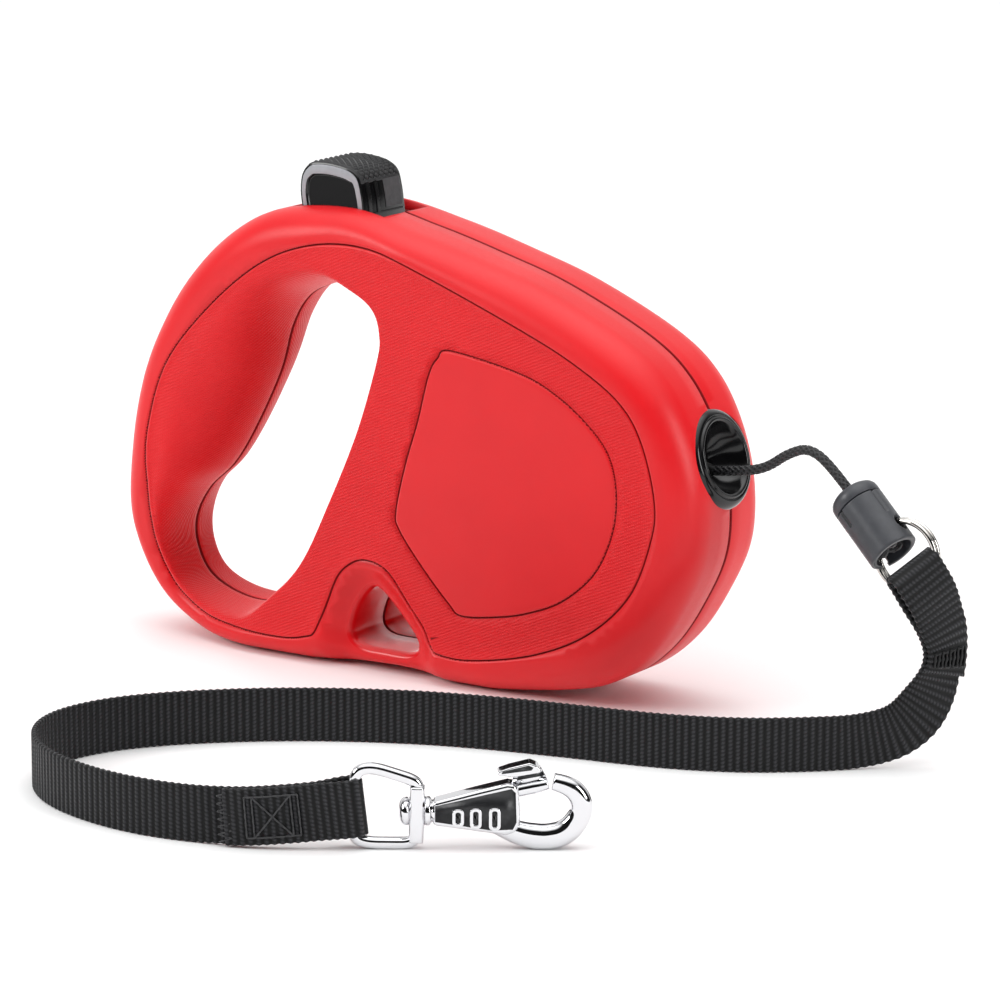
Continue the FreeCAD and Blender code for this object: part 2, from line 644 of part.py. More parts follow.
def make_hook():
    """Swivel eye, rivet, cast body with its open jaw, sliding bolt and bolt spring."""
    wire, pin = size("eye_wire"), size("pin_radius")
    level = size("swivel_height")
    frame = round_tube(eye_path(), wire)
    bar = Part.makeBox(3.0, 4.4, 12.6, Vector(12.9, -2.2, 1.6))
    hole = Part.makeCylinder(pin + size("running_gap"), 12.0, Vector(9.0, 0, level), X_AXIS)
    node("swivel_eye", in_hook("eye_casting", frame.fuse(bar).cut(hole)))

    head = Part.makeCylinder(size("rivet_radius"), 2.0, Vector(10.7, 0, level), X_AXIS)
    shank = Part.makeCylinder(pin, 5.2, Vector(12.6, 0, level), X_AXIS)
    node("swivel_rivet", in_hook("rivet_turning", head.fuse(shank)))

    half = size("hook_half_thickness")
    slope = math.radians(size("bolt_slope"))
    bolt_heading = Vector(math.cos(slope), 0, math.sin(slope))
    bolt_line = Vector(36.1, 0, 13.1)
    body = slab(polygon_face([(17.8, 11.0), (34.6, 15.3), (36.4, 14.6), (36.9, 6.0), (34.5, 3.4),
                              (17.8, 5.7)]), -half, half)
    jaw = slab(jaw_face(), -half + 0.4, half - 0.4)
    collar = Part.makeCylinder(size("collar_radius"), 1.8, Vector(16.1, 0, level), X_AXIS)
    casting = body.fuse([jaw, collar])
    bore = Part.makeCylinder(size("bolt_radius") + size("running_gap"), 18.6,
                             bolt_line - bolt_heading * 17.6, bolt_heading)
    channel = Part.makeBox(13.0, 1.9, 8.0, Vector(25.5, -0.95, 11.0))
    rivet_bore = Part.makeCylinder(pin, 2.0, Vector(16.0, 0, level), X_AXIS)
    tip = bolt_line + bolt_heading * 7.35
    node("hook_body", in_hook("hook_casting", casting.cut([bore, channel, rivet_bore])))

    back = bolt_line - bolt_heading * 6.3
    rod = Part.makeCylinder(size("bolt_radius"), (tip - back).Length - 0.25, back, bolt_heading)
    stem = slab(polygon_face([(34.6, 12.6), (35.8, 16.8), (41.3, 17.9), (42.6, 15.0)]), -0.8, 0.8)
    tab = slab(polygon_face([(31.9, 17.1), (31.9, 18.2), (38.8, 19.7), (41.2, 18.3), (41.2, 17.4),
                             (35.5, 16.6)]), -2.2, 2.2)
    node("hook_bolt", in_hook("bolt_turning", rod.fuse([stem, tab])))

    spring_start = bolt_line - bolt_heading * 17.5
    coil = compression_spring(1.15, 0.2, 11.0, 8)
    coil.Placement = along(spring_start, bolt_heading)
    whole = feature("bolt_coil", coil, hook_place().multiply(coil.Placement))
    node("bolt_spring", whole)


def jaw_face():
    """The hook's open jaw: a curved arm from the body's foot up to the bolt's tip."""
    outer = [(30.5, 4.0), (33.5, 1.6), (37.5, 0.3), (42.2, 0.1), (47.4, 1.8), (51.0, 5.2),
             (52.2, 9.2), (50.7, 13.1), (47.3, 15.8), (43.9, 16.7)]
    inner = [(43.9, 13.2), (46.3, 12.5), (47.8, 9.8), (47.0, 7.0), (43.9, 5.4), (40.0, 5.4),
             (36.6, 6.4), (34.0, 8.0)]
    curves = []
    for points in (outer, inner):
        curve = Part.BSplineCurve()
        curve.interpolate(Points=[Vector(x, 0, z) for x, z in points])
        curves.append(curve)
    edges = [curves[0].toShape(),
             Part.LineSegment(curves[0].EndPoint, curves[1].StartPoint).toShape(),
             curves[1].toShape(),
             Part.LineSegment(curves[1].EndPoint, curves[0].StartPoint).toShape()]
    return Part.Face(Part.Wire(edges))


# ---------------------------------------------------------------- build and write

def check():
    """Stop if any object failed, or any sub-part is empty or not valid."""
    for thing in doc.Objects:
        if "Invalid" in thing.State or "Error" in thing.State:
            raise RuntimeError("%s failed: %s" % (thing.Name, thing.State))
    for label, thing in NODES.items():
        if thing.Shape.isNull() or not thing.Shape.isValid():
            raise RuntimeError("%s is not a valid shape" % label)
        if thing.Shape.Volume <= 0 or not thing.Shape.Solids:
            raise RuntimeError("%s is not a solid" % label)


make_casing()
make_reel()
make_brake()
make_lead()
make_hook()
doc.recompute()
check()
os.makedirs("parts", exist_ok=True)
for label, thing in NODES.items():
    thing.Shape.exportStep("parts/%s.step" % label)
    bounds = thing.Shape.BoundBox
    print("%-20s solids %2d volume %9.1f  x %.1f..%.1f y %.1f..%.1f z %.1f..%.1f" % (
        label, len(thing.Shape.Solids), thing.Shape.Volume, bounds.XMin, bounds.XMax,
        bounds.YMin, bounds.YMax, bounds.ZMin, bounds.ZMax))
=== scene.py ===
"""Looks of the retractable dog leash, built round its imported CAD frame.

Lengths are written in millimetres and turned into metres by MM. X runs from the grip to the
cord outlet, Y from the near shell to the far shell, and Z up from the floor.
"""
import json
import math

import bmesh
import bpy
import numpy as np
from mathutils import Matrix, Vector
from mathutils.geometry import delaunay_2d_cdt


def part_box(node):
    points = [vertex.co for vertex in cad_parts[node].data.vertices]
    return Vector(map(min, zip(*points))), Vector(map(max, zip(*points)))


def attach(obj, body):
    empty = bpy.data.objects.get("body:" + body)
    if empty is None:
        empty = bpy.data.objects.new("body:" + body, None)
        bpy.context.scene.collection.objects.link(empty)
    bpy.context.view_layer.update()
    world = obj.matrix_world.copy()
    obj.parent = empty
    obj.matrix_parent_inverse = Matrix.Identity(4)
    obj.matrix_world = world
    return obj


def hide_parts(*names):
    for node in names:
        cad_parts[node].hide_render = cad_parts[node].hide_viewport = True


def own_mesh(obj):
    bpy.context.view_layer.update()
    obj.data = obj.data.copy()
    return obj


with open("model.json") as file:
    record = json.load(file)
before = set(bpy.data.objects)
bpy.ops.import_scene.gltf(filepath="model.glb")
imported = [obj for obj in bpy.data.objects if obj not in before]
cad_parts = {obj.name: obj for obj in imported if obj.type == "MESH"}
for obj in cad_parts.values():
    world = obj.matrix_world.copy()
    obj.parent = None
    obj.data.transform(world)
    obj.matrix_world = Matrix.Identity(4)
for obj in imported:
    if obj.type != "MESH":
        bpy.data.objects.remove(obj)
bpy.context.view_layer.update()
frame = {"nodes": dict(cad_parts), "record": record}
scene = bpy.context.scene

MM = 0.001
HALF_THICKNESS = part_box("casing_far")[1].y / MM


# ---------------------------------------------------------------- materials

def material(name, colour, roughness, **sockets):
    """A Principled material; sockets are named with underscores for spaces."""
    made = bpy.data.materials.new(name)
    made.use_nodes = True
    shader = made.node_tree.nodes["Principled BSDF"]
    shader.inputs["Base Color"].default_value = (*colour, 1)
    shader.inputs["Roughness"].default_value = roughness
    for socket, value in sockets.items():
        shader.inputs[socket.replace("_", " ")].default_value = value
    return made


def add(made, kind, inputs=None, **settings):
    """A shader node, with inputs given as values or as other nodes' outputs."""
    node = made.node_tree.nodes.new(kind)
    for name, value in settings.items():
        setattr(node, name, value)
    for key, value in (inputs or {}).items():
        if isinstance(value, bpy.types.NodeSocket):
            made.node_tree.links.new(value, node.inputs[key])
        else:
            node.inputs[key].default_value = value
    return node


def place(made):
    """Object coordinates, in metres."""
    return add(made, "ShaderNodeTexCoord").outputs["Object"]


def maths(made, operation, first, second=0.0, third=0.0):
    """The output of one Math node."""
    return add(made, "ShaderNodeMath", {0: first, 1: second, 2: third},
               operation=operation).outputs[0]


def noise(made, scale, detail=3.0, where=None, stretch=(1, 1, 1)):
    """Noise of the given scale per metre."""
    spot = add(made, "ShaderNodeMapping",
               {"Vector": where or place(made), "Scale": stretch}).outputs[0]
    return add(made, "ShaderNodeTexNoise",
               {"Vector": spot, "Scale": scale, "Detail": detail}).outputs["Fac"]


def bump(made, height, strength, depth):
    """Feed a height into the shader's normal; depth is in millimetres."""
    shader = made.node_tree.nodes["Principled BSDF"]
    before = shader.inputs["Normal"].links
    inputs = {"Height": height, "Strength": strength, "Distance": depth * MM}
    if before:
        inputs["Normal"] = before[0].from_socket
    made.node_tree.links.new(add(made, "ShaderNodeBump", inputs).outputs[0],
                             shader.inputs["Normal"])


def tint(made, fac, dark, light):
    """Vary the base colour between two tones."""
    ramp = add(made, "ShaderNodeMix", {0: fac, 6: (*dark, 1), 7: (*light, 1)}, data_type="RGBA")
    made.node_tree.links.new(ramp.outputs[2],
                             made.node_tree.nodes["Principled BSDF"].inputs["Base Color"])


def polish(made, fac, low, high):
    """Vary the roughness between two values."""
    spread = add(made, "ShaderNodeMapRange", {0: fac, 3: low, 4: high})
    made.node_tree.links.new(spread.outputs[0],
                             made.node_tree.nodes["Principled BSDF"].inputs["Roughness"])


def wave(made, along, pitch):
    """A ripple from 0 to 1 with the given pitch along a coordinate."""
    turn = maths(made, "MULTIPLY", along, 2 * math.pi / pitch)
    return maths(made, "MULTIPLY_ADD", maths(made, "SINE", turn), 0.5, 0.5)


def sheet_axes(made, turn=0.0):
    """The two coordinates of the piece's own UV sheet, in millimetres, turned by an angle."""
    uv = add(made, "ShaderNodeUVMap", uv_map="sheet").outputs[0]
    turned = add(made, "ShaderNodeMapping", {"Vector": uv, "Rotation": (0, 0, turn)}).outputs[0]
    split = add(made, "ShaderNodeSeparateXYZ", {"Vector": turned})
    return split.outputs[0], split.outputs[1]


RED, RED_DEEP = (0.79, 0.010, 0.015), (0.70, 0.007, 0.012)


def red_plastic(name, roughness, shine=0.36, shade=1.0):
    """Moulded red plastic with a fine spark-eroded grain; a shade below 1 darkens its colour as painted
    shade.
    """
    made = material(name, RED, roughness, Specular_IOR_Level=shine)
    tint(made, noise(made, 60, 2), [c * shade for c in RED_DEEP], [c * shade for c in RED])
    polish(made, noise(made, 900, 2), roughness - 0.05, roughness + 0.07)
    bump(made, noise(made, 2600, 2), 0.22, 0.05)
    return made


satin = red_plastic("casing_satin", 0.38)
lip_red = red_plastic("casing_lip", 0.22)
ribbed = red_plastic("casing_ribbed", 0.44, 0.28)
# A darkened red for the crease grooves and the gap at the parting line: painted shade.
groove_shade_red = red_plastic("casing_painted_groove_shade", 0.5, 0.15, 0.3)
RIB_PITCH, RIB_CROSS = 0.74, 0.6
u_axis, v_axis = sheet_axes(ribbed, math.radians(-23.5))
rows = wave(ribbed, v_axis, RIB_PITCH)
beads = wave(ribbed, maths(ribbed, "MULTIPLY_ADD", v_axis, 0.38, u_axis), RIB_CROSS)
ribs = maths(ribbed, "MULTIPLY", rows, maths(ribbed, "MULTIPLY_ADD", beads, 0.8, 0.2))
bump(ribbed, ribs, 0.8, 0.15)

black_gloss = material("gloss_black", (0.006, 0.006, 0.007), 0.1, Specular_IOR_Level=0.42)
polish(black_gloss, noise(black_gloss, 260, 3), 0.09, 0.2)
tint(black_gloss, noise(black_gloss, 90, 2), (0.003, 0.003, 0.0035), (0.006, 0.006, 0.0065))

pad_rubber = material("pad_rubber", (0.014, 0.014, 0.015), 0.55, Specular_IOR_Level=0.4)
bump(pad_rubber, noise(pad_rubber, 3800, 3), 0.35, 0.06)
tint(pad_rubber, noise(pad_rubber, 1500, 3), (0.006, 0.006, 0.007), (0.024, 0.024, 0.026))

window_black = material("key_window", (0.004, 0.004, 0.0045), 0.16, Specular_IOR_Level=0.12)
polish(window_black, noise(window_black, 240, 2), 0.12, 0.2)

# A grey band round the key's face, laid on a flat band where a chamfer shows a reflection: painted
# reflection.
painted_reflection_grey = material("painted_reflection_grey", (0.42, 0.43, 0.46), 0.34)
tint(painted_reflection_grey, noise(painted_reflection_grey, 500, 3), (0.30, 0.31, 0.335), (0.39, 0.40, 0.425))
bump(painted_reflection_grey, noise(painted_reflection_grey, 3000, 2), 0.12, 0.03)

sleeve_plastic = material("sleeve_plastic", (0.04, 0.043, 0.05), 0.4)
tint(sleeve_plastic, noise(sleeve_plastic, 420, 4), (0.03, 0.032, 0.038), (0.055, 0.058, 0.067))
polish(sleeve_plastic, noise(sleeve_plastic, 700, 3), 0.3, 0.5)
bump(sleeve_plastic, noise(sleeve_plastic, 3200, 3), 0.3, 0.05)

braid = material("braided_cord", (0.02, 0.02, 0.022), 0.5, Sheen_Weight=0.08, Sheen_Roughness=0.4)
CORD_RADIUS, STRANDS, BRAID_PITCH = 1.2, 6, 1.7
along_cord, round_cord = sheet_axes(braid)
strand_turn = maths(braid, "MULTIPLY", round_cord, STRANDS / (2 * math.pi * 1.1))
strands = [maths(braid, "MULTIPLY_ADD", along_cord, way / BRAID_PITCH, strand_turn)
           for way in (1, -1)]
strands = [wave(braid, maths(braid, "SUBTRACT", strand, 0.25), 1.0) for strand in strands]
raised = maths(braid, "POWER", maths(braid, "MAXIMUM", *strands), 2.2)
fleck = maths(braid, "MULTIPLY_ADD", noise(braid, 2600, 3), 0.5, 0.6)
# The colour follows the strands: near black in the gaps between them, painted shade, with random flecks.
tint(braid, maths(braid, "MULTIPLY", raised, fleck), (0.0006, 0.0006, 0.0008), (0.03, 0.03, 0.034))
bump(braid, raised, 0.6, 0.2)
bump(braid, noise(braid, 5200, 2), 0.5, 0.06)

webbing = material("webbing", (0.016, 0.016, 0.018), 0.5, Sheen_Weight=0.08, Sheen_Roughness=0.35,
                   Specular_IOR_Level=0.22)
run_axis, cross_axis = sheet_axes(webbing)
WEAVE_RUN, WEAVE_CROSS = 1.7, 1.15
pick = wave(webbing, run_axis, WEAVE_RUN)
slanted = maths(webbing, "MULTIPLY_ADD", run_axis, WEAVE_CROSS / WEAVE_RUN / 2, cross_axis)
yarn = wave(webbing, slanted, WEAVE_CROSS * 0.8)
weave = maths(webbing, "MULTIPLY", maths(webbing, "POWER", pick, 1.6),
              maths(webbing, "MULTIPLY_ADD", yarn, 0.65, 0.35))
fibre = noise(webbing, 2.6, 3, add(webbing, "ShaderNodeUVMap", uv_map="sheet").outputs[0],
              (1.2, 5, 1))
# The colour follows the weave: lightest on the rib crests and near black between them, painted highlight
# and shade, with random fibre tone.
tint(webbing, maths(webbing, "MULTIPLY", weave, maths(webbing, "MULTIPLY_ADD", fibre, 1.4, 0.35)),
     (0.001, 0.001, 0.0012), (0.042, 0.0425, 0.047))
bump(webbing, weave, 0.9, 0.3)
bump(webbing, fibre, 0.3, 0.08)

patch_grey = material("key_patch", (0.05, 0.05, 0.053), 0.5, Specular_IOR_Level=0.4)
tint(patch_grey, noise(patch_grey, 700, 3), (0.028, 0.028, 0.03), (0.085, 0.085, 0.09))
bump(patch_grey, noise(patch_grey, 2600, 2), 0.3, 0.05)
thread_black = material("tack_thread", (0.004, 0.004, 0.0045), 0.4, Specular_IOR_Level=0.3)
tint(thread_black, noise(thread_black, 2400, 3), (0.001, 0.001, 0.0012), (0.008, 0.008, 0.009))
thread = material("sewing_thread", (0.035, 0.035, 0.038), 0.42, Sheen_Weight=0.06)
tint(thread, noise(thread, 2400, 3), (0.006, 0.006, 0.007), (0.06, 0.06, 0.064))
bump(thread, noise(thread, 6000, 2), 0.4, 0.04)

chrome = material("hook_chrome", (0.72, 0.72, 0.74), 0.05, Metallic=1.0)
polish(chrome, noise(chrome, 320, 3), 0.03, 0.10)
bump(chrome, noise(chrome, 130, 2), 0.06, 0.15)

dark_recess = material("chrome_recess", (0.016, 0.017, 0.019), 0.34, Metallic=0.3)
bump(dark_recess, noise(dark_recess, 1800, 3), 0.35, 0.07)
tint(dark_recess, noise(dark_recess, 900, 3), (0.006, 0.006, 0.007), (0.03, 0.031, 0.034))

bright_wire = material("bright_wire", (0.66, 0.64, 0.61), 0.12, Metallic=1.0)
polish(bright_wire, noise(bright_wire, 900, 3), 0.06, 0.18)

reel_plastic = material("reel_plastic", (0.08, 0.08, 0.085), 0.5)
bump(reel_plastic, noise(reel_plastic, 1500, 3), 0.25, 0.05)
tint(reel_plastic, noise(reel_plastic, 200, 3), (0.065, 0.065, 0.07), (0.1, 0.1, 0.105))
white_plastic = material("white_plastic", (0.78, 0.78, 0.76), 0.4)
bump(white_plastic, noise(white_plastic, 1500, 3), 0.2, 0.05)
spring_steel = material("spring_steel", (0.36, 0.36, 0.37), 0.28, Metallic=1.0)
polish(spring_steel, noise(spring_steel, 800, 3), 0.2, 0.4)
fastener_steel = material("fastener_steel", (0.5, 0.5, 0.51), 0.3, Metallic=1.0)
polish(fastener_steel, noise(fastener_steel, 900, 3), 0.2, 0.42)
bump(fastener_steel, noise(fastener_steel, 2200, 2), 0.15, 0.03)


# ---------------------------------------------------------------- mesh helpers

def piece(name, body, vertices, faces, materials, slots=None, sheet=None, stands_for=(),
          smooth=True):
    """A mesh piece that rides on a body; vertices are in millimetres of the row frame."""
    mesh = bpy.data.meshes.new(name)
    mesh.from_pydata([tuple(float(c) * MM for c in v) for v in vertices], [], faces)
    for made in materials:
        mesh.materials.append(made)
    if slots is not None:
        mesh.polygons.foreach_set("material_index", np.asarray(slots, np.int32))
    mesh.polygons.foreach_set("use_smooth", [smooth] * len(mesh.polygons))
    if sheet is not None:
        layer = mesh.uv_layers.new(name="sheet")
        corner = np.empty(len(mesh.loops), np.int32)
        mesh.loops.foreach_get("vertex_index", corner)
        layer.data.foreach_set("uv", np.asarray(sheet, np.float32)[corner].ravel())
    mesh.update()
    made_piece = bpy.data.objects.new(name, mesh)
    scene.collection.objects.link(made_piece)
    return settle(made_piece, body, stands_for)


def settle(made_piece, body, stands_for=()):
    """Ride on a body and stand for CAD nodes."""
    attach(made_piece, body)
    if stands_for:
        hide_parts(*stands_for)
    return made_piece


def modify(target, kind, **settings):
    """Add a modifier and apply it."""
    modifier = target.modifiers.new(kind.lower(), kind)
    for name, value in settings.items():
        setattr(modifier, name, value)
    bpy.context.view_layer.update()
    evaluated = target.evaluated_get(bpy.context.evaluated_depsgraph_get())
    changed = bpy.data.meshes.new_from_object(evaluated)
    target.modifiers.clear()
    target.data = changed
    return target


def unit(vectors):
    """Vectors scaled to length one."""
    vectors = np.asarray(vectors, float)
    return vectors / np.linalg.norm(vectors, axis=-1, keepdims=True)


def smooth_step(share):
    """0 to 1 with level ends."""
    share = np.clip(share, 0, 1)
    return share * share * (3 - 2 * share)


def run_along(line):
    """Distance from the start of a line to each of its points."""
    return np.concatenate([[0], np.cumsum(np.linalg.norm(np.diff(line, axis=0), axis=1))])


def evenly(line, step):
    """The line again, with points about step apart."""
    run = run_along(line)
    wanted = np.linspace(0, run[-1], max(2, int(round(run[-1] / step)) + 1))
    return np.stack([np.interp(wanted, run, line[:, k]) for k in range(line.shape[1])], 1)


def spline_line(name, route, closed=False):
    """Points of the smooth NURBS line with the route's points as its control points, in mm."""
    curve = bpy.data.curves.new(name, "CURVE")
    curve.dimensions = "3D"
    curve.resolution_u = 32
    spline = curve.splines.new("NURBS")
    spline.points.add(len(route) - 1)
    for point, spot in zip(spline.points, route):
        point.co = (spot[0] * MM, spot[1] * MM, spot[2] * MM, 1)
    spline.order_u = 3
    spline.use_endpoint_u = not closed
    spline.use_cyclic_u = closed
    holder = bpy.data.objects.new(name, curve)
    scene.collection.objects.link(holder)
    mesh = bpy.data.meshes.new_from_object(holder)
    line = np.array([v.co for v in mesh.vertices]) / MM
    bpy.data.objects.remove(holder)
    bpy.data.curves.remove(curve)
    bpy.data.meshes.remove(mesh)
    return line


def carried_frames(line, up, closed=False):
    """Tangents and two normals along a line, carried without twist from an up direction."""
    ahead = np.roll(line, -1, 0) - np.roll(line, 1, 0)
    if not closed:
        ahead[0], ahead[-1] = line[1] - line[0], line[-1] - line[-2]
    tangents = unit(ahead)
    normals = np.empty_like(tangents)
    current = np.asarray(up, float)
    for index, tangent in enumerate(tangents):
        current = current - tangent * (current @ tangent)
        current = current / np.linalg.norm(current)
        normals[index] = current
    return tangents, normals, np.cross(tangents, normals)


def tube(line, sides, radius, up=(0, 0, 1), closed=False):
    """Vertices, faces and sheet coordinates of a tube; radius(run, angle) gives its surface."""
    _, first, second = carried_frames(line, up, closed)
    run = run_along(line)
    angle = np.arange(sides) * 2 * math.pi / sides
    reach = radius(run[:, None], angle[None, :])
    reach = np.broadcast_to(reach, (len(line), sides))
    spots = (line[:, None, :] + reach[..., None] * (np.cos(angle)[None, :, None] * first[:, None, :]
             + np.sin(angle)[None, :, None] * second[:, None, :]))
    sheet = np.stack([np.broadcast_to(run[:, None], reach.shape),
                      np.broadcast_to(angle[None, :] * reach.mean(), reach.shape)], -1)
    faces = band_faces(len(line), sides, closed)
    if not closed:
        faces.append(list(range(sides))[::-1])
        faces.append([(len(line) - 1) * sides + k for k in range(sides)])
    return spots.reshape(-1, 3), faces, sheet.reshape(-1, 2)


def band_faces(rings, sides, closed=False, start=0):
    """Quads between rings of points, each ring closed on itself."""
    faces = []
    for i in range(rings if closed else rings - 1):
        a, b = start + i * sides, start + ((i + 1) % rings) * sides
        for j in range(sides):
            k = (j + 1) % sides
            faces.append([a + j, a + k, b + k, b + j])
    return faces


def lathe(profile, sides, base, axis):
    """A turned piece: profile is (distance along the axis, radius) from end to end."""
    axis = unit(axis)
    side = unit(np.cross((0, 0, 1), axis))
    other = np.cross(axis, side)
    angle = np.arange(sides) * 2 * math.pi / sides
    ring = np.cos(angle)[:, None] * side + np.sin(angle)[:, None] * other
    spots = [np.asarray(base) + axis * step + ring * radius for step, radius in profile]
    return np.concatenate(spots), band_faces(len(profile), sides)


def joined(*parts):
    """Several (vertices, faces) as one."""
    spots, faces, count = [], [], 0
    for vertices, quads in parts:
        spots.append(np.asarray(vertices, float))
        faces += [[count + k for k in quad] for quad in quads]
        count += len(vertices)
    return np.concatenate(spots), faces


# ---------------------------------------------------------------- camera

AZIMUTH, ELEVATION, DISTANCE = math.radians(34), math.radians(12.5), 1.1
back = Vector((math.sin(AZIMUTH) * math.cos(ELEVATION), -math.cos(AZIMUTH) * math.cos(ELEVATION),
               math.sin(ELEVATION)))
lens = bpy.data.cameras.new("camera")
lens.sensor_width = 36
lens.lens = 160.4
lens.shift_x, lens.shift_y = 0.06, -0.05
camera = bpy.data.objects.new("camera", lens)
camera.location = Vector((0.0007, 0, 0.0549)) + back * DISTANCE
camera.rotation_euler = back.to_track_quat("Z", "Y").to_euler()
scene.collection.objects.link(camera)
scene.camera = camera


# ---------------------------------------------------------------- cord

CORD_ROUTE = [
    (79.0, 0.0, 59.6), (87.5, -0.5, 60.6), (94.5, -1.5, 62.6), (100.7, -3.0, 67.0),
    (107.5, -4.8, 69.6), (114.5, -6.2, 66.0), (123.7, -8.7, 58.0),
]


def braid_radius(run, angle):
    """Two sets of strands wound opposite ways, each passing over and under the other."""
    one = angle / (2 * math.pi) * STRANDS + run / BRAID_PITCH
    two = angle / (2 * math.pi) * STRANDS - run / BRAID_PITCH
    swap = np.cos(np.pi * (np.floor(one) + np.floor(two)))
    over = np.abs(np.sin(np.pi * one)) ** 0.6 * (0.72 + 0.28 * swap)
    under = np.abs(np.sin(np.pi * two)) ** 0.6 * (0.72 - 0.28 * swap)
    return CORD_RADIUS * (0.74 + 0.26 * np.maximum(over, under))


cord_line = evenly(spline_line("cord_line", CORD_ROUTE), 0.14)
spots, faces, sheet = tube(cord_line, 40, braid_radius)
free_cord = piece("free_cord_braid", "casing", spots, faces, [braid], sheet=sheet,
                  stands_for=["free_cord"])

SLEEVE_TOP = np.array([120.0, -7.8, 61.2])
SLEEVE_END = np.array([133.7, -11.5, 49.4])
SLEEVE_AXIS = unit(SLEEVE_END - SLEEVE_TOP)
SLEEVE_LENGTH = 18.5
SLEEVE_RADIUS, SLEEVE_BORE, CAP_LENGTH = 6.0, 4.7, 4.0

# knot: a rounded trefoil of the same cord, packed tight
turn = np.linspace(0, 2 * math.pi, 180, endpoint=False)
loop = np.stack([np.sin(turn) + 2 * np.sin(2 * turn), np.cos(turn) - 2 * np.cos(2 * turn),
                 -1.15 * np.sin(3 * turn)], 1)
across = unit(np.cross(SLEEVE_AXIS, (0, 0, 1)))
upward = np.cross(across, SLEEVE_AXIS)
KNOT_CENTRE = SLEEVE_TOP + SLEEVE_AXIS * 15.6
knot_line = (KNOT_CENTRE + loop[:, :1] * 0.92 * across + loop[:, 1:2] * 0.92 * upward
             + loop[:, 2:] * 0.95 * SLEEVE_AXIS)
spots, faces, sheet = tube(knot_line, 20, lambda run, angle: braid_radius(run, angle) * 1.08,
                           up=SLEEVE_AXIS, closed=True)
knot = piece("cord_end_knot", "casing", spots, faces, [braid], sheet=sheet,
             stands_for=["cord_knot"])

# stopper sleeve and cap
cap_profile = [(0.9, 1.6), (0.15, 1.75), (0.0, 2.1), (0.12, 3.4), (0.45, 4.6), (1.05, 5.45),
               (1.8, 5.88), (2.6, 6.0), (3.7, 6.0), (3.86, 5.94), (3.95, 5.7), (3.95, 3.0),
               (1.2, 1.6), (0.9, 1.6)]
spots, faces = lathe(cap_profile, 72, SLEEVE_TOP, SLEEVE_AXIS)
cap = piece("sleeve_cap_shell", "casing", spots, faces, [sleeve_plastic],
            stands_for=["sleeve_cap"])
RING_CENTRE = np.array([136.1, -9.8, 48.9])
RING_RADIUS, RING_WIRE = 8.0, 0.65
RING_TURN = math.radians(-4)
ring_level = np.array([math.cos(RING_TURN), math.sin(RING_TURN), 0])
ring_normal = np.cross(ring_level, (0, 0, 1))


def sleeve_shell():
    """The sleeve's wall, open at its end, with a slot on each side for the split ring."""
    rings, sides = 62, 110
    start = CAP_LENGTH + 0.12
    steps = np.linspace(start, SLEEVE_LENGTH, rings)
    angle = np.arange(sides) * 2 * math.pi / sides
    direction = np.cos(angle)[:, None] * upward + np.sin(angle)[:, None] * across
    layers = []
    for outside in (True, False):
        reach = np.full((rings, sides), SLEEVE_RADIUS if outside else SLEEVE_BORE)
        if outside:
            for middle, until in ((2.0, 10.5), (96.0, 8.5), (182.0, 15.0)):
                off = (np.abs((np.degrees(angle) - middle + 180) % 360 - 180)
                       * math.pi / 180 * SLEEVE_RADIUS)
                reach -= 0.5 * ((off < 0.3)[None, :] & (steps < start + until - 4)[:, None])
            layer_reach = reach.copy()
            reach[0] -= 0.3
            reach[-1] -= 0.25
        layers.append(SLEEVE_TOP + SLEEVE_AXIS * steps[:, None, None]
                      + direction[None] * reach[..., None])
    spots = np.concatenate([layer.reshape(-1, 3) for layer in layers])
    count = rings * sides
    outer_cells = {}
    middle = layers[0].reshape(rings, sides, 3) - RING_CENTRE
    for i in range(rings - 1):
        for j in range(sides):
            offset = middle[i, j]
            level, height = offset @ ring_level, offset[2]
            away = math.hypot(math.hypot(level, height) - RING_RADIUS, offset @ ring_normal)
            if away > 1.75:
                outer_cells[(i, j)] = [i * sides + j, i * sides + (j + 1) % sides,
                                       (i + 1) * sides + (j + 1) % sides, (i + 1) * sides + j]
    edges = {}
    faces, slots = [], []
    for (i, j), quad in outer_cells.items():
        faces.append(quad)
        faces.append([count + k for k in quad[::-1]])
        # Seam groove faces take the dark recess material: painted shade in the seam lines.
        slots += [int(layer_reach[i, j] < SLEEVE_RADIUS - 0.4), 0]
        for a, b in zip(quad, quad[1:] + quad[:1]):
            edges[(a, b)] = edges.get((a, b), 0) + 1
    for a, b in edges:
        if (b, a) not in edges:
            faces.append([b, a, count + a, count + b])
            slots.append(0)
    return spots, faces, slots


spots, faces, slots = sleeve_shell()
sleeve = piece("stopper_sleeve_shell", "casing", spots, faces, [sleeve_plastic, dark_recess],
               slots=slots,
               stands_for=["stopper_sleeve"])

# split ring: two flush turns of wire with one crossing
turn = np.linspace(0.45, 4 * math.pi - 0.45, 420)
shift = -RING_WIRE + 2 * RING_WIRE * smooth_step((turn - 2 * math.pi + 0.4) / 0.8)
ring_line = (RING_CENTRE + RING_RADIUS * (np.cos(turn + 2.2)[:, None] * ring_level
             + np.sin(turn + 2.2)[:, None] * np.array([0, 0, 1.0])) + shift[:, None] * ring_normal)
spots, faces, _ = tube(ring_line, 20, lambda run, angle: RING_WIRE + 0 * run, up=ring_normal)
ring = piece("split_ring_wire", "casing", spots, faces, [bright_wire],
             stands_for=["split_ring"])


# ---------------------------------------------------------------- strap

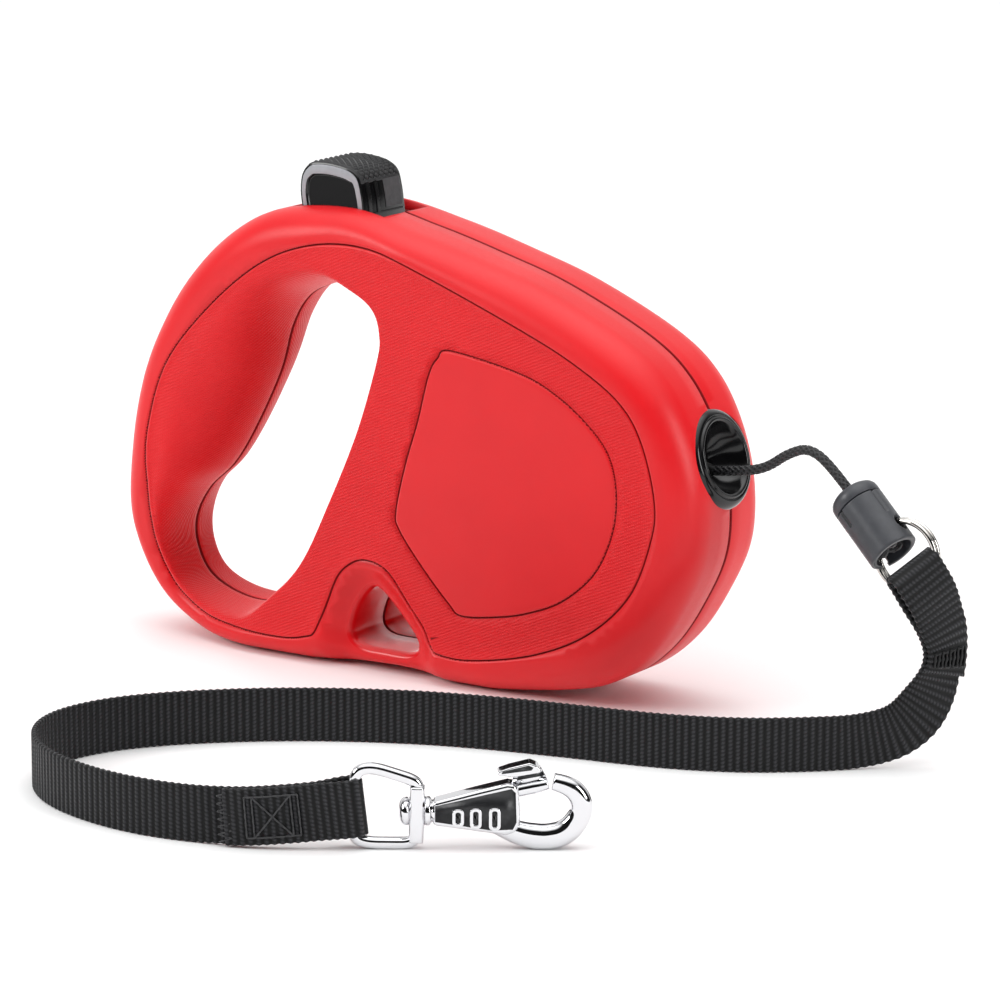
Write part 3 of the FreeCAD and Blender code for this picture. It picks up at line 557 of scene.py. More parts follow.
STRAP_ROUTE = [
    (139.7, -13.6, 46.3), (143.0, -10.3, 38.8), (145.7, -7.8, 29.0), (144.2, -9.1, 18.6),
    (139.4, -13.6, 9.2), (131.9, -21.0, 6.5), (122.5, -30.0, 6.5), (110.0, -39.5, 6.5),
    (92.5, -46.8, 6.5), (66.0, -52.0, 6.5), (42.0, -58.5, 6.5), (24.5, -66.5, 6.5),
    (9.5, -75.5, 6.5), (-3.0, -85.5, 6.5), (-13.5, -96.0, 6.5), (-21.5, -108.0, 6.5),
    (-24.5, -122.5, 6.5), (-19.5, -136.0, 6.5), (-8.0, -146.5, 6.5), (8.0, -152.3, 6.5),
    (25.0, -153.8, 6.5), (41.0, -150.8, 6.5), (55.5, -145.0, 7.5), (69.3, -135.4, 9.4),
]
STRAP_HALF, STRAP_THICK = 6.45, 1.4
RISE_HEADING, RISE_LENGTH = math.radians(44), 62.0
RING_PLY, HOOK_PLY, BAR_WRAP = 26.0, 28.0, 2.1

strap_line = evenly(spline_line("strap_line", STRAP_ROUTE), WEAVE_RUN / 6)
strap_run = run_along(strap_line)
strap_length = strap_run[-1]
strap_ahead = unit(np.gradient(strap_line, axis=0))
rise_face = np.array([math.sin(RISE_HEADING), -math.cos(RISE_HEADING), 0])
level_ahead = strap_ahead * (1, 1, 0) + np.array([1e-6, 0, 0])
floor_face = unit(np.stack([-level_ahead[:, 1], level_ahead[:, 0], 0 * strap_run], 1))
on_floor = smooth_step((strap_run - RISE_LENGTH + 8) / 16)[:, None]
strap_face = unit((1 - on_floor) * rise_face + on_floor * floor_face)
RING_ACROSS, SEAM_ACROSS = np.array([0.455, 0.725, 0.518]), np.array([0.15, 0.87, 0.45])
lowered = smooth_step(strap_run / RING_PLY)[:, None]
tilted = RING_ACROSS * (1 - lowered) + SEAM_ACROSS * lowered
turned_face = unit(np.cross(strap_ahead, tilted))
turned_face *= np.sign((turned_face @ rise_face))[:, None]
at_ring = (1 - smooth_step((strap_run - 18) / 20))[:, None]
strap_face = unit((1 - at_ring) * strap_face + at_ring * turned_face)
strap_face = unit(strap_face - strap_ahead * np.sum(strap_face * strap_ahead, 1)[:, None])
strap_across = np.cross(strap_ahead, strap_face)
ring_spread = 1 - smooth_step((strap_run - 5) / 9)
hook_spread = smooth_step((strap_run - strap_length + 9) / 9)


def woven(line, across):
    """Vertices, faces and sheet coordinates of a woven band with ribbed faces and scalloped edges."""
    ahead = unit(np.gradient(line, axis=0))
    face = unit(np.cross(across, ahead))
    across = unit(np.cross(ahead, face))
    run = run_along(line)
    rib = np.sin(2 * math.pi * run / WEAVE_RUN)
    flat = np.linspace(-1, 1, 17) * (STRAP_HALF - 0.45)
    bend = np.radians([60, 30, 0, -30, -60])
    edge_w, edge_h = STRAP_HALF - 0.45 + 0.45 * np.cos(bend), STRAP_THICK / 2 * np.sin(bend)
    width = np.concatenate([flat, edge_w, flat[::-1], -edge_w])
    height = np.concatenate([np.full(17, STRAP_THICK / 2), edge_h, np.full(17, -STRAP_THICK / 2),
                             -edge_h])
    wide = width[None, :] * (1 + 0.016 * rib[:, None])
    high = height[None, :] * (1 - 0.22 * (0.5 - 0.5 * rib[:, None]))
    spots = (line[:, None, :] + wide[..., None] * across[:, None, :]
             + high[..., None] * face[:, None, :])
    sides = len(width)
    strip = np.concatenate([flat, edge_w + 0.4, flat[::-1], -edge_w - 0.4])
    sheet = np.stack([np.broadcast_to(run[:, None], wide.shape),
                      np.broadcast_to(strip[None, :], wide.shape)], -1)
    faces = band_faces(len(line), sides)
    faces.append(list(range(sides))[::-1])
    faces.append([(len(line) - 1) * sides + k for k in range(sides)])
    return spots.reshape(-1, 3), faces, sheet.reshape(-1, 2)


main_offset = -1.0 * ring_spread + BAR_WRAP * hook_spread
main_line = strap_line + strap_face * main_offset[:, None]
spots, faces, sheet = woven(main_line, strap_across)
strap = piece("webbing_strap_woven", "casing", spots, faces, [webbing], sheet=sheet,
              stands_for=["webbing_strap"])


def half_round(centre, side, ahead, radius, steps=16):
    """Points of a half turn from +side round ahead to -side."""
    angle = np.linspace(0, math.pi, steps)[1:-1]
    return centre + radius * (np.cos(angle)[:, None] * side + np.sin(angle)[:, None] * ahead)


# ply folded over the split ring, on the side away from the casing's tail
RING_BULGE = 1.7
ring_ply_offset = 1.42 + RING_BULGE * ring_spread
top_radius = (1.42 + RING_BULGE + 1.0) / 2
top_centre = strap_line[0] + strap_face[0] * (ring_ply_offset[0] - top_radius)
ring_count = int(np.searchsorted(strap_run, RING_PLY))
ring_ply = strap_line[:ring_count] + strap_face[:ring_count] * ring_ply_offset[:ring_count, None]
over = half_round(top_centre, -strap_face[0], -strap_ahead[0], top_radius)
ply_line = evenly(np.concatenate([main_line[:1], over, ring_ply]), WEAVE_RUN / 6)
ply_across = np.stack([np.interp(run_along(ply_line), np.concatenate(
    [[0, math.pi * top_radius], math.pi * top_radius + strap_run[1:ring_count]]),
    np.concatenate([strap_across[:1, k], strap_across[:ring_count, k]])) for k in range(3)], 1)
spots, faces, sheet = woven(ply_line, ply_across)
ring_fold = piece("webbing_fold_ring", "casing", spots, faces, [webbing], sheet=sheet,
                  stands_for=["strap_fold_at_ring"])

# ply folded round the hook's swivel eye
hook_ply_offset = -(1.42 + (BAR_WRAP - 1.42) * hook_spread)
hook_first = int(np.searchsorted(strap_run, strap_length - HOOK_PLY))
hook_ply = strap_line[hook_first:] + strap_face[hook_first:] * hook_ply_offset[hook_first:, None]
wrap = half_round(strap_line[-1], strap_face[-1], strap_ahead[-1], BAR_WRAP)
ply_line = evenly(np.concatenate([hook_ply, wrap[::-1], main_line[-1:]]), WEAVE_RUN / 6)
up_across = np.zeros_like(ply_line) + strap_across[-1]
spots, faces, sheet = woven(ply_line, up_across)
hook_fold = piece("webbing_fold_hook", "casing", spots, faces, [webbing], sheet=sheet,
                  stands_for=["strap_fold_at_hook"])


def on_strap(run, width, height):
    """A point on the strap: run from the ring end, across its width and out from its middle."""
    def read(field):
        return np.stack([np.interp(run, strap_run, field[:, k]) for k in range(3)], -1)
    width, height = np.asarray(width)[..., None], np.asarray(height)[..., None]
    return read(strap_line) + read(strap_across) * width + read(strap_face) * height


def stitched(name, paths, height, thick, stitch, finish=None):
    """Sewing thread laid along (run, width) paths on the strap, dipping between stitches."""
    parts = []
    for path in paths:
        path = evenly(np.array(path, float), 0.16)
        along = run_along(path)
        lift = height + np.sign(height) * 0.16 * (np.abs(np.sin(math.pi * along / stitch)) - 0.6)
        line = on_strap(path[:, 0], path[:, 1], lift)
        spots, faces, _ = tube(line, 7, lambda run, angle: thick * (
            0.62 + 0.38 * np.abs(np.sin(math.pi * run / stitch)) ** 0.5) + 0 * angle,
                               up=(0.3, 0.2, 1))
        parts.append((spots, faces))
    spots, faces = joined(*parts)
    return piece(name, "casing", spots, faces, [finish or thread])


def zigzag(start, reach, half, count):
    """A zigzag across the strap's width."""
    return [(start + (reach if k % 2 else 0), -half + 2 * half * k / count)
            for k in range(count + 1)]


HOOK_FACE, RING_FACE = -(1.42 + 0.82), 1.42 + 0.82
near, far_run = strap_length - HOOK_PLY + 5.0, strap_length - 11.5
box_lines = [
    [(near, -4.6), (near, 4.6)], [(near + 1.6, 4.6), (near + 1.6, -4.6)],
    [(far_run, -4.6), (far_run, 4.6)],
    [(far_run - 1.6, -4.6), (far_run - 1.6, 4.6)], [(near, 4.6), (far_run, 4.6)],
    [(near, -4.6), (far_run, -4.6)], [(near + 1.6, -4.6), (far_run - 1.6, 4.6)],
    [(near + 1.6, 4.6), (far_run - 1.6, -4.6)],
]
hook_seam = stitched("strap_box_seam", box_lines, HOOK_FACE, 0.2, 2.1)
hook_edge = stitched("strap_end_overcast", [zigzag(strap_length - HOOK_PLY - 1.2, 3.0, 5.6, 13)],
                     HOOK_FACE * 0.8, 0.17, 1.4)
bars = [(RING_PLY - 5.6 + (3.6 if k % 4 in (1, 2) else 0), -5.2 + 1.3 * (k // 2))
        for k in range(18)]
ring_seam = stitched("strap_bar_tack", [bars], RING_FACE, 0.36, 5.0, finish=thread_black)


# ---------------------------------------------------------------- casing

OUTLINE = [
    (83.5, 54.9), (79.9, 68.9), (72.8, 81.1), (61.6, 90.0), (38.8, 100.3), (19.4, 106.2),
    (0.7, 111.0), (-21.2, 115.0), (-46.1, 110.7), (-66.9, 93.9), (-80.7, 69.3), (-86.3, 39.6),
    (-84.9, 22.9), (-77.3, 9.6), (-62.8, 1.9), (-45.3, -0.15), (-31.0, -0.15), (-8.7, 1.5),
    (0.7, 1.4), (12.0, 0.1), (23.0, -0.15), (44.5, 2.7), (58.2, 6.7), (69.2, 15.4), (77.2, 27.1),
    (83.0, 40.4),
]
GRIP_HOLE = [
    (-32.0, 93.2), (-38.6, 89.4), (-43.4, 81.9), (-47.3, 69.7), (-55.1, 54.5), (-62.0, 44.1),
    (-69.9, 36.7), (-74.4, 28.8), (-74.5, 21.5), (-70.2, 14.0), (-60.5, 9.7), (-50.0, 9.6),
    (-40.8, 15.9), (-30.6, 26.3), (-21.4, 43.7), (-13.0, 62.3), (-7.3, 80.0), (-6.7, 86.0),
    (-8.5, 90.9), (-14.0, 94.0), (-22.0, 95.4),
]
EYELET = [
    (-9.3, 21.3), (-12.5, 18.7), (-15.4, 13.6), (-16.2, 8.6), (-13.0, 6.2), (-6.0, 5.9),
    (0.8, 6.1), (3.4, 8.4), (0.6, 13.0), (-5.9, 19.6),
]
# edge of the ribbed zone: round the casing, and over the eyelet as an arch
CREASE = [
    (7.7, 102.4), (-8.4, 106.9), (-24.8, 106.4), (-40.6, 100.4), (-56.8, 87.7), (-70.5, 71.8),
    (-76.7, 53.7), (-77.4, 40.0), (-77.9, 31.5), (-77.4, 23.6), (-74.7, 16.4), (-70.0, 11.2),
    (-61.0, 7.2), (-50.2, 6.0), (-41.0, 5.6), (-33.1, 5.8), (-27.5, 7.0), (-24.9, 8.3),
    (-22.7, 12.8), (-19.0, 21.2), (-16.2, 25.5), (-12.4, 28.3), (-8.8, 29.2), (-4.2, 28.3),
    (-0.5, 25.4), (4.0, 19.0), (7.6, 14.6), (9.6, 10.2), (12.6, 8.3), (22.3, 8.3), (39.7, 12.2),
    (55.2, 19.5), (67.1, 30.8), (73.0, 45.1), (73.8, 55.1), (70.0, 68.7), (63.7, 77.5),
    (51.6, 85.1), (36.1, 91.9),
]
BADGE = [
    (16.3, 84.5), (12.6, 82.4), (10.0, 78.0), (6.8, 66.1), (3.2, 55.0), (0.4, 43.2), (1.2, 38.6),
    (7.6, 30.4), (15.6, 22.0), (19.6, 19.3), (30.7, 20.7), (39.8, 23.2), (48.7, 27.4),
    (57.1, 35.0), (61.9, 44.8), (63.2, 54.5), (61.3, 63.5), (56.2, 69.9), (47.2, 76.5),
    (36.2, 81.1),
]
SCREWS = [(-65.0, 62.0), (-50.0, 99.0), (-27.0, 12.5), (65.2, 22.2), (62.6, 82.2)]
FLAT_WALL = 9.0
PARTING, LIP = 0.17, 0.55


def ring_through(points, count):
    """Equally spaced points round a smooth closed curve through the given ones, anticlockwise."""
    spots = np.array(points, float)
    ahead = np.roll(spots, -1, 0)
    if np.sum(spots[:, 0] * ahead[:, 1] - ahead[:, 0] * spots[:, 1]) < 0:
        spots = spots[::-1]
    fine = []
    for k in range(len(spots)):
        a, b, c, d = (spots[(k + m) % len(spots)] for m in (-1, 0, 1, 2))
        for t in np.linspace(0, 1, 24, endpoint=False):
            fine.append(0.5 * (2 * b + (c - a) * t + (2 * a - 5 * b + 4 * c - d) * t * t
                               + (3 * b - a - 3 * c + d) * t ** 3))
    fine = np.array(fine + fine[:1])
    run = run_along(fine)
    wanted = np.linspace(0, run[-1], count, endpoint=False)
    return np.stack([np.interp(wanted, run, fine[:, k]) for k in range(2)], 1)


def inward(loop):
    """Unit normals that point inside an anticlockwise loop."""
    ahead = unit(np.roll(loop, -1, 0) - np.roll(loop, 1, 0))
    return np.stack([-ahead[:, 1], ahead[:, 0]], 1)


def away_from(points, loop):
    """Distance from each point to the nearest of a loop's points."""
    best = np.full(len(points), 1e9)
    for chunk in np.array_split(loop, max(1, len(loop) // 200)):
        gaps = np.linalg.norm(points[:, None, :] - chunk[None], axis=2).min(1)
        best = np.minimum(best, gaps)
    return best


def inside(points, loop):
    """Which points lie inside a closed loop."""
    found = np.zeros(len(points), bool)
    x, z = points[:, 0], points[:, 1]
    for (ax, az), (bx, bz) in zip(loop, np.roll(loop, -1, 0)):
        if az == bz:
            continue
        crosses = (az > z) != (bz > z)
        found ^= crosses & (x < (bx - ax) * (z - az) / (bz - az) + ax)
    return found


def eased(values, reach):
    """A running mean round a loop."""
    return sum(np.roll(values, k) for k in range(-reach, reach + 1)) / (2 * reach + 1)


outline = ring_through(OUTLINE, 460)
outline[:, 1] = np.maximum(outline[:, 1], 0.0)
hole = ring_through(GRIP_HOLE, 320)
eyelet = ring_through(EYELET, 150)
crease = ring_through(CREASE, 620)
badge = ring_through(BADGE, 300)


def crown(points):
    """Half thickness of the casing's domed face, before its creases."""
    x, z = points[:, 0], points[:, 1]
    dome = 0.8 * np.minimum(1, ((x - 8) / 88) ** 2 + ((z - 56) / 62) ** 2)
    tail = 5.6 * smooth_step(1 - np.hypot(x + 74, z - 13) / 34)
    dish = 4.2 * (1 - smooth_step((away_from(points, eyelet) - 1.0) / 7.5))
    dip = 1.6 * smooth_step(1 - np.hypot((x + 14) / 24, (z - 112) / 9))
    return HALF_THICKNESS - dome - tail - dish - dip


# rim: how far in its rounding ends, kept clear of the crease, the grip and the eyelet
rim_reach = np.minimum.reduce([
    np.full(len(outline), 9.0), away_from(outline, crease) - 0.7,
    away_from(outline, hole) * 0.42, away_from(outline, eyelet) - 2.2])
rim_reach = eased(rim_reach, 4)
rim_inner = outline + inward(outline) * rim_reach[:, None]
rim_top = crown(rim_inner)

# grip: how far out its rolled edge ends, wide at the tail and narrow at the reel
out_of_hole = -inward(hole)
towards_tail = smooth_step((0.45 - out_of_hole[:, 0]) / 1.1)
roll_reach = 2.2 + (0.93 * (away_from(hole, crease) - 0.9) - 2.2) * towards_tail
roll_reach = np.clip(np.minimum(roll_reach, away_from(hole, crease) - 1.25), 0.5, None)
roll_reach = np.minimum(eased(roll_reach, 6), away_from(hole, crease) - 1.2)
roll_outer = hole + out_of_hole * roll_reach[:, None]
# Groove faces sunk deeper than the second depth below the crown take the darkened red: painted shade.
ZONE_DEPTH, SHADED_GROOVE_DEPTH = 0.3, 0.42
roll_top = crown(roll_outer) - ZONE_DEPTH

eyelet_out = -inward(eyelet)
eyelet_outer = eyelet + eyelet_out * 1.4
eyelet_top = crown(eyelet_outer)


def swept(loop, normal, stations):
    """Rings beside a loop; stations are (offset along the normal, depth from the parting plane)."""
    rings = []
    for offset, depth in stations:
        spots = loop + normal * np.broadcast_to(np.asarray(offset, float), len(loop))[:, None]
        rings.append(np.stack([spots[:, 0], np.broadcast_to(np.asarray(depth, float), len(loop)),
                               spots[:, 1]], 1))
    return rings


def groove_rings(loop, depths):
    """Loops that step into a closed line, with how deep each lies below the crown."""
    return [(loop + inward(loop) * offset, depth) for offset, depth in depths]


CREASE_STEPS = [(-0.14, 0.0), (-0.02, 0.8), (0.2, 0.86), (0.34, 0.22), (0.62, 0.06), (0.95, 0.1),
                (1.4, ZONE_DEPTH)]
BADGE_STEPS = [(-0.3, ZONE_DEPTH), (-0.16, ZONE_DEPTH + 0.5), (0.06, ZONE_DEPTH + 0.52),
               (0.2, 0.18), (0.5, 0.03), (0.9, 0.0)]


def face_sheet():
    """Triangulated face between the rim, the grip and the eyelet: points, depths, triangles, finishes."""
    loops = [(rim_inner, rim_top), (roll_outer, roll_top), (eyelet_outer, eyelet_top)]
    for ring, depth in groove_rings(crease, CREASE_STEPS) + groove_rings(badge, BADGE_STEPS):
        loops.append((ring, crown(ring) - depth))
    grid = np.array([(x, z) for x in np.arange(-84, 84, 2.2) for z in np.arange(2, 114, 2.2)])
    clear = inside(grid, rim_inner) & ~inside(grid, roll_outer) & ~inside(grid, eyelet_outer)
    grid = grid[clear]
    for ring, _ in loops:
        grid = grid[away_from(grid, ring) > 0.9]
    zone = inside(grid, crease) & ~inside(grid, badge)
    points = [ring for ring, _ in loops] + [grid]
    depths = [depth for _, depth in loops] + [crown(grid) - ZONE_DEPTH * zone]
    edges, count = [], 0
    for ring, _ in loops:
        edges += [(count + k, count + (k + 1) % len(ring)) for k in range(len(ring))]
        count += len(ring)
    points, depths = np.concatenate(points), np.concatenate(depths)
    found = delaunay_2d_cdt([Vector(p) for p in points], edges, [], 0, 1e-6, True)
    flat = np.array([tuple(v) for v in found[0]])
    source = [origin[0] if origin else -1 for origin in found[3]]
    height = np.array([depths[k] if k >= 0 else 0.0 for k in source])
    fresh = np.array([k < 0 for k in source])
    if fresh.any():
        height[fresh] = crown(flat[fresh]) - ZONE_DEPTH
    triangles = np.array(found[2])
    centre = flat[triangles].mean(1)
    keep = inside(centre, rim_inner) & ~inside(centre, roll_outer) & ~inside(centre, eyelet_outer)
    triangles, centre = triangles[keep], centre[keep]
    crease_in = crease + inward(crease) * 0.8
    badge_out = badge - inward(badge) * 0.25
    finish = (inside(centre, crease_in) & ~inside(centre, badge_out)).astype(int)
    sunk = crown(centre) - height[triangles].mean(1)
    # Faces deep in the grooves take the darkened red: painted shade.
    finish[(sunk > SHADED_GROOVE_DEPTH) & (away_from(centre, eyelet) > 2)] = 3
    return flat, height, triangles, finish


flat_points, flat_heights, flat_triangles, flat_finish = face_sheet()


def unfolded(outer, normal, rings):
    """Sheet coordinates of rolled rings, as if they were laid flat from their outer edge."""
    run = np.zeros(len(outer))
    found = [outer]
    for before, after in zip(rings[:-1], rings[1:]):
        run = run + np.linalg.norm(after - before, axis=1)
        found.append(outer + normal * run[:, None])
    return found


def far_slimness(spots):
    """How much thinner the far half of the grip is near its tail, at each point."""
    near_tail = smooth_step(1 - np.hypot(spots[:, 0] + 70, spots[:, 2] - 24) / 42)
    return 1 - 0.4 * near_tail * smooth_step(spots[:, 1] / 6)


def casing_shell(name, side, node, seen_screws):
    """One half of the casing's skin, with the outlet opened and its wall round the slot and screw wells.
    """
    quarter = np.radians(np.linspace(0, 90, 11)[1:])
    rim = swept(outline, inward(outline),
                [(1.1, PARTING), (0.24, PARTING), (0, LIP), (0, 4.7), (0, FLAT_WALL)]
                + [(rim_reach * (1 - math.cos(a)), FLAT_WALL + (rim_top - FLAT_WALL) * math.sin(a))
                   for a in quarter])
    roll = swept(hole, out_of_hole, [(1.1, PARTING), (0.24, PARTING), (0, LIP)]
                 + [(roll_reach * (1 - math.cos(a)), np.maximum(roll_top * math.sin(a), LIP + 0.1))
                    for a in quarter])
    foot = eyelet_top - 2.4
    funnel = swept(eyelet, eyelet_out,
                   [(1.1, PARTING), (0.24, PARTING), (0, LIP), (0, 5.0), (0, foot)]
                   + [(1.4 * (1 - math.cos(a)), foot + 2.4 * math.sin(a)) for a in quarter[1::2]])
    spots = [np.stack([flat_points[:, 0], flat_heights, flat_points[:, 1]], 1)]
    sheet = [flat_points]
    faces = [list(map(int, triangle)) for triangle in flat_triangles]
    slots = [int(finish) for finish in flat_finish]
    count = len(flat_points)
    for rings, finish in ((rim, 0), (roll, 1), (funnel, 2)):
        sides = len(rings[0])
        band = band_faces(len(rings), sides, start=count)
        faces += band
        # The first two bands, in the gap at the parting line, take the darkened red: painted shade.
        slots += [3 if k < 2 * sides else finish for k in range(len(band))]
        spots += rings
        if finish == 1:
            sheet += unfolded(rings[-1][:, [0, 2]], inward(hole), rings[::-1])[::-1]
        else:
            sheet += [ring[:, [0, 2]] for ring in rings]
        count += sides * len(rings)
    spots = np.concatenate(spots) * (1, side, 1)
    if side > 0:
        spots[:, 1] *= far_slimness(spots)
    spots[:, 2] = np.maximum(spots[:, 2], 0)
    skin = piece(name, "casing", spots, faces, [satin, ribbed, lip_red, groove_shade_red], slots=slots,
                 sheet=np.concatenate(sheet), stands_for=[node])
    work = bmesh.new()
    work.from_mesh(skin.data)
    bmesh.ops.remove_doubles(work, verts=work.verts, dist=0.004 * MM)
    carve_slot(work, side)
    carve_round(work, OUTLET - FACING * 30, FACING, BUSH_RADIUS - 0.5, 64, 20.0)
    if seen_screws:
        for x, z in SCREWS:
            rim_edges = carve_round(work, np.array([x, 0, z]), np.array([0, side, 0]), 3.0, 28, 8.0)
            wall = bmesh.ops.extrude_edge_only(work, edges=rim_edges)["geom"]
            for item in wall:
                if isinstance(item, bmesh.types.BMVert):
                    item.co.y = side * 14.4 * MM
    bmesh.ops.recalc_face_normals(work, faces=work.faces)
    front = max(work.faces, key=lambda face: face.calc_center_median().y * side)
    if front.normal.y * side < 0:
        bmesh.ops.reverse_faces(work, faces=work.faces)
    for face in work.faces:
        face.smooth = True
    work.to_mesh(skin.data)
    work.free()
    skin.data.update()
    return skin


def bisect(work, faces, spot, normal):
    """Slice some faces with a plane; returns the faces that come of it."""
    geometry = set(faces)
    for face in faces:
        geometry.update(face.edges)
        geometry.update(face.verts)
    found = bmesh.ops.bisect_plane(work, geom=list(geometry), plane_co=Vector(spot) * MM,
                                   plane_no=Vector(normal), dist=1e-7)
    return {item for item in found["geom"] if isinstance(item, bmesh.types.BMFace)}


SLOT_LOW, SLOT_HIGH, SLOT_HALF, SLOT_WALL = -37.0, -9.5, 9.3, 2.4


def carve_slot(work, side):
    """Open the thumb key's slot in the casing's top, with its wall turned down inside."""
    def near(face):
        c = face.calc_center_median() / MM
        return c.z > 100 and SLOT_LOW - 5 < c.x < SLOT_HIGH + 5 and abs(c.y) < SLOT_HALF + 4
    for spot, normal in (((SLOT_LOW, 0, 0), (1, 0, 0)), ((SLOT_HIGH, 0, 0), (1, 0, 0)),
                         ((0, side * SLOT_HALF, 0), (0, 1, 0))):
        bisect(work, [face for face in work.faces if near(face)], spot, normal)
    gone = []
    for face in work.faces:
        c = face.calc_center_median() / MM
        if near(face) and SLOT_LOW < c.x < SLOT_HIGH and abs(c.y) < SLOT_HALF and c.z > 105:
            gone.append(face)
    bmesh.ops.delete(work, geom=gone, context="FACES")

    def on_slot(vert):
        c = vert.co / MM
        return (c.z > 105 and SLOT_LOW - 0.02 < c.x < SLOT_HIGH + 0.02
                and abs(c.y) < SLOT_HALF + 0.02)
    edges = [edge for edge in work.edges if edge.is_boundary and all(on_slot(v) for v in edge.verts)]
    wall = bmesh.ops.extrude_edge_only(work, edges=edges)["geom"]
    for item in wall:
        if isinstance(item, bmesh.types.BMVert):
            item.co.z -= SLOT_WALL * MM


def carve_round(work, base, axis, radius, sides, reach):
    """Open a round hole where a ray from base along axis leaves the skin; returns its edges."""
    axis = unit(axis)
    first = unit(np.cross(axis, (0.0, 0.3, 1.0)))
    second = np.cross(axis, first)
    origin, axis, first, second = (Vector(v) for v in (base, axis, first, second))
    depth = radius + 4.5

    def polar(face):
        c = face.calc_center_median() / MM - origin
        along = c.dot(axis)
        across, up = c.dot(first), c.dot(second)
        return along, math.hypot(across, up), math.atan2(up, across)

    def beside(face):
        along, away, _ = polar(face)
        return along > reach / 2 and away < depth + 2
    local = {face for face in work.faces if beside(face)}
    for k in range(sides):
        angle = 2 * math.pi * k / sides
        spread = math.pi / sides * 2 + 3.0 / radius
        chosen = []
        for face in local:
            _, away, turn = polar(face)
            gap = abs((turn - angle + math.pi) % (2 * math.pi) - math.pi)
            if gap < spread and radius - 4 < away < depth:
                chosen.append(face)
        if chosen:
            normal = math.cos(angle) * first + math.sin(angle) * second
            cut = bisect(work, chosen, origin + normal * radius, normal)
            local = {face for face in local if face.is_valid} | cut
    gone = set()
    for face in local:
        along, away, turn = polar(face)
        angle = round(turn / (2 * math.pi / sides)) * 2 * math.pi / sides
        if away * math.cos(turn - angle) < radius - 1e-4:
            gone.add(face)
    rim_edges = [edge for edge in {edge for face in gone for edge in face.edges}
                 if any(face not in gone for face in edge.link_faces)]
    bmesh.ops.delete(work, geom=list(gone), context="FACES")
    return [edge for edge in rim_edges if edge.is_valid and edge.is_boundary]


OUTLET = np.array([81.2, 0.0, 62.9])
OUTLET_TILT = math.radians(17.5)
FACING = np.array([math.cos(OUTLET_TILT), 0, math.sin(OUTLET_TILT)])
BUSH_RADIUS, BUSH_BACK = 12.3, 6.6

near_skin = casing_shell("casing_near_skin", -1, "casing_near", False)
far_skin = casing_shell("casing_far_skin", 1, "casing_far", True)
for skin in (near_skin, far_skin):
    skin.visible_glossy = False

# cord outlet bush: flange, raised lip and funnel
bush_profile = [(-2.0, 9.0), (-2.0, 12.0), (4.4, 12.28), (5.3, 12.25), (6.1, 12.05), (6.8, 11.65),
                (7.35, 11.1), (7.6, 10.55), (7.55, 10.25), (7.35, 10.1), (7.4, 9.98),
                (7.75, 9.88), (7.97, 9.6), (7.98, 9.25), (7.8, 8.95), (7.4, 8.7), (6.5, 8.35),
                (5.3, 7.8), (4.0, 7.0), (2.8, 6.0), (1.6, 4.8), (0.6, 3.9), (-0.4, 3.3),
                (-1.2, 3.05), (-2.0, 3.05)]
spots, faces = lathe(bush_profile, 120, OUTLET - FACING * BUSH_BACK, FACING)
piece("cord_outlet_bush_ring", "casing", spots, faces, [black_gloss],
      stands_for=["cord_outlet_bush"])


# ---------------------------------------------------------------- thumb key

KEY_FOOT, KEY_HALF, PAD_EDGE = 107.85, 8.8, 120.6
KEY_TOP = [(-34.7, 113.0), (-35.3, 117.6), (-34.7, 122.0), (-32.2, 124.8), (-28.6, 125.5),
           (-24.2, 125.3), (-20.0, 124.4), (-17.3, 122.4), (-16.0, 118.2), (-15.3, 113.0)]


def key_line(points, count):
    """Equally spaced points along a smooth open curve through the given ones."""
    spots = np.array([points[0]] + list(points) + [points[-1]], float)
    fine = []
    for a, b, c, d in zip(spots, spots[1:], spots[2:], spots[3:]):
        for t in np.linspace(0, 1, 20, endpoint=False):
            fine.append(0.5 * (2 * b + (c - a) * t + (2 * a - 5 * b + 4 * c - d) * t * t
                               + (3 * b - a - 3 * c + d) * t ** 3))
    fine = np.array(fine + [spots[-1]])
    run = run_along(fine)
    return np.stack([np.interp(np.linspace(0, run[-1], count), run, fine[:, k]) for k in range(2)],
                    1)


def key_side(side):
    """Rings of one face of the key, from its rounded edge to its recessed window's floor."""
    legs = 0.5 + 1.15 + 1.1 * np.clip(crown_out[:, 1], 0, 1)
    stations = [(0.0, 0.42), (0.12, 0.12), (0.42, 0.0), (0.55, 0.06), (0.62, 0.02), (legs, 0.02),
                (legs + 0.12, 0.1), (legs + 0.45, 0.75), (legs + 0.6, 0.8)]
    return [(body_line - crown_out * np.broadcast_to(np.asarray(inset, float),
                                                     len(body_line))[:, None],
             side * (KEY_HALF - sunk)) for inset, sunk in stations]


crown_line = key_line(KEY_TOP, 110)
crown_ahead = unit(np.gradient(crown_line, axis=0))
crown_out = np.stack([-crown_ahead[:, 1], crown_ahead[:, 0]], 1)
body_line = crown_line - crown_out * 0.3
key_rings = [(np.concatenate([ring, [(ring[-1][0], KEY_FOOT), (ring[0][0], KEY_FOOT)]]), level)
             for ring, level in key_side(-1)[::-1] + key_side(1)]
key_spots = [(x, level, z) for ring, level in key_rings for x, z in ring]
n = len(body_line) + 2
key_faces = band_faces(len(key_rings), n)
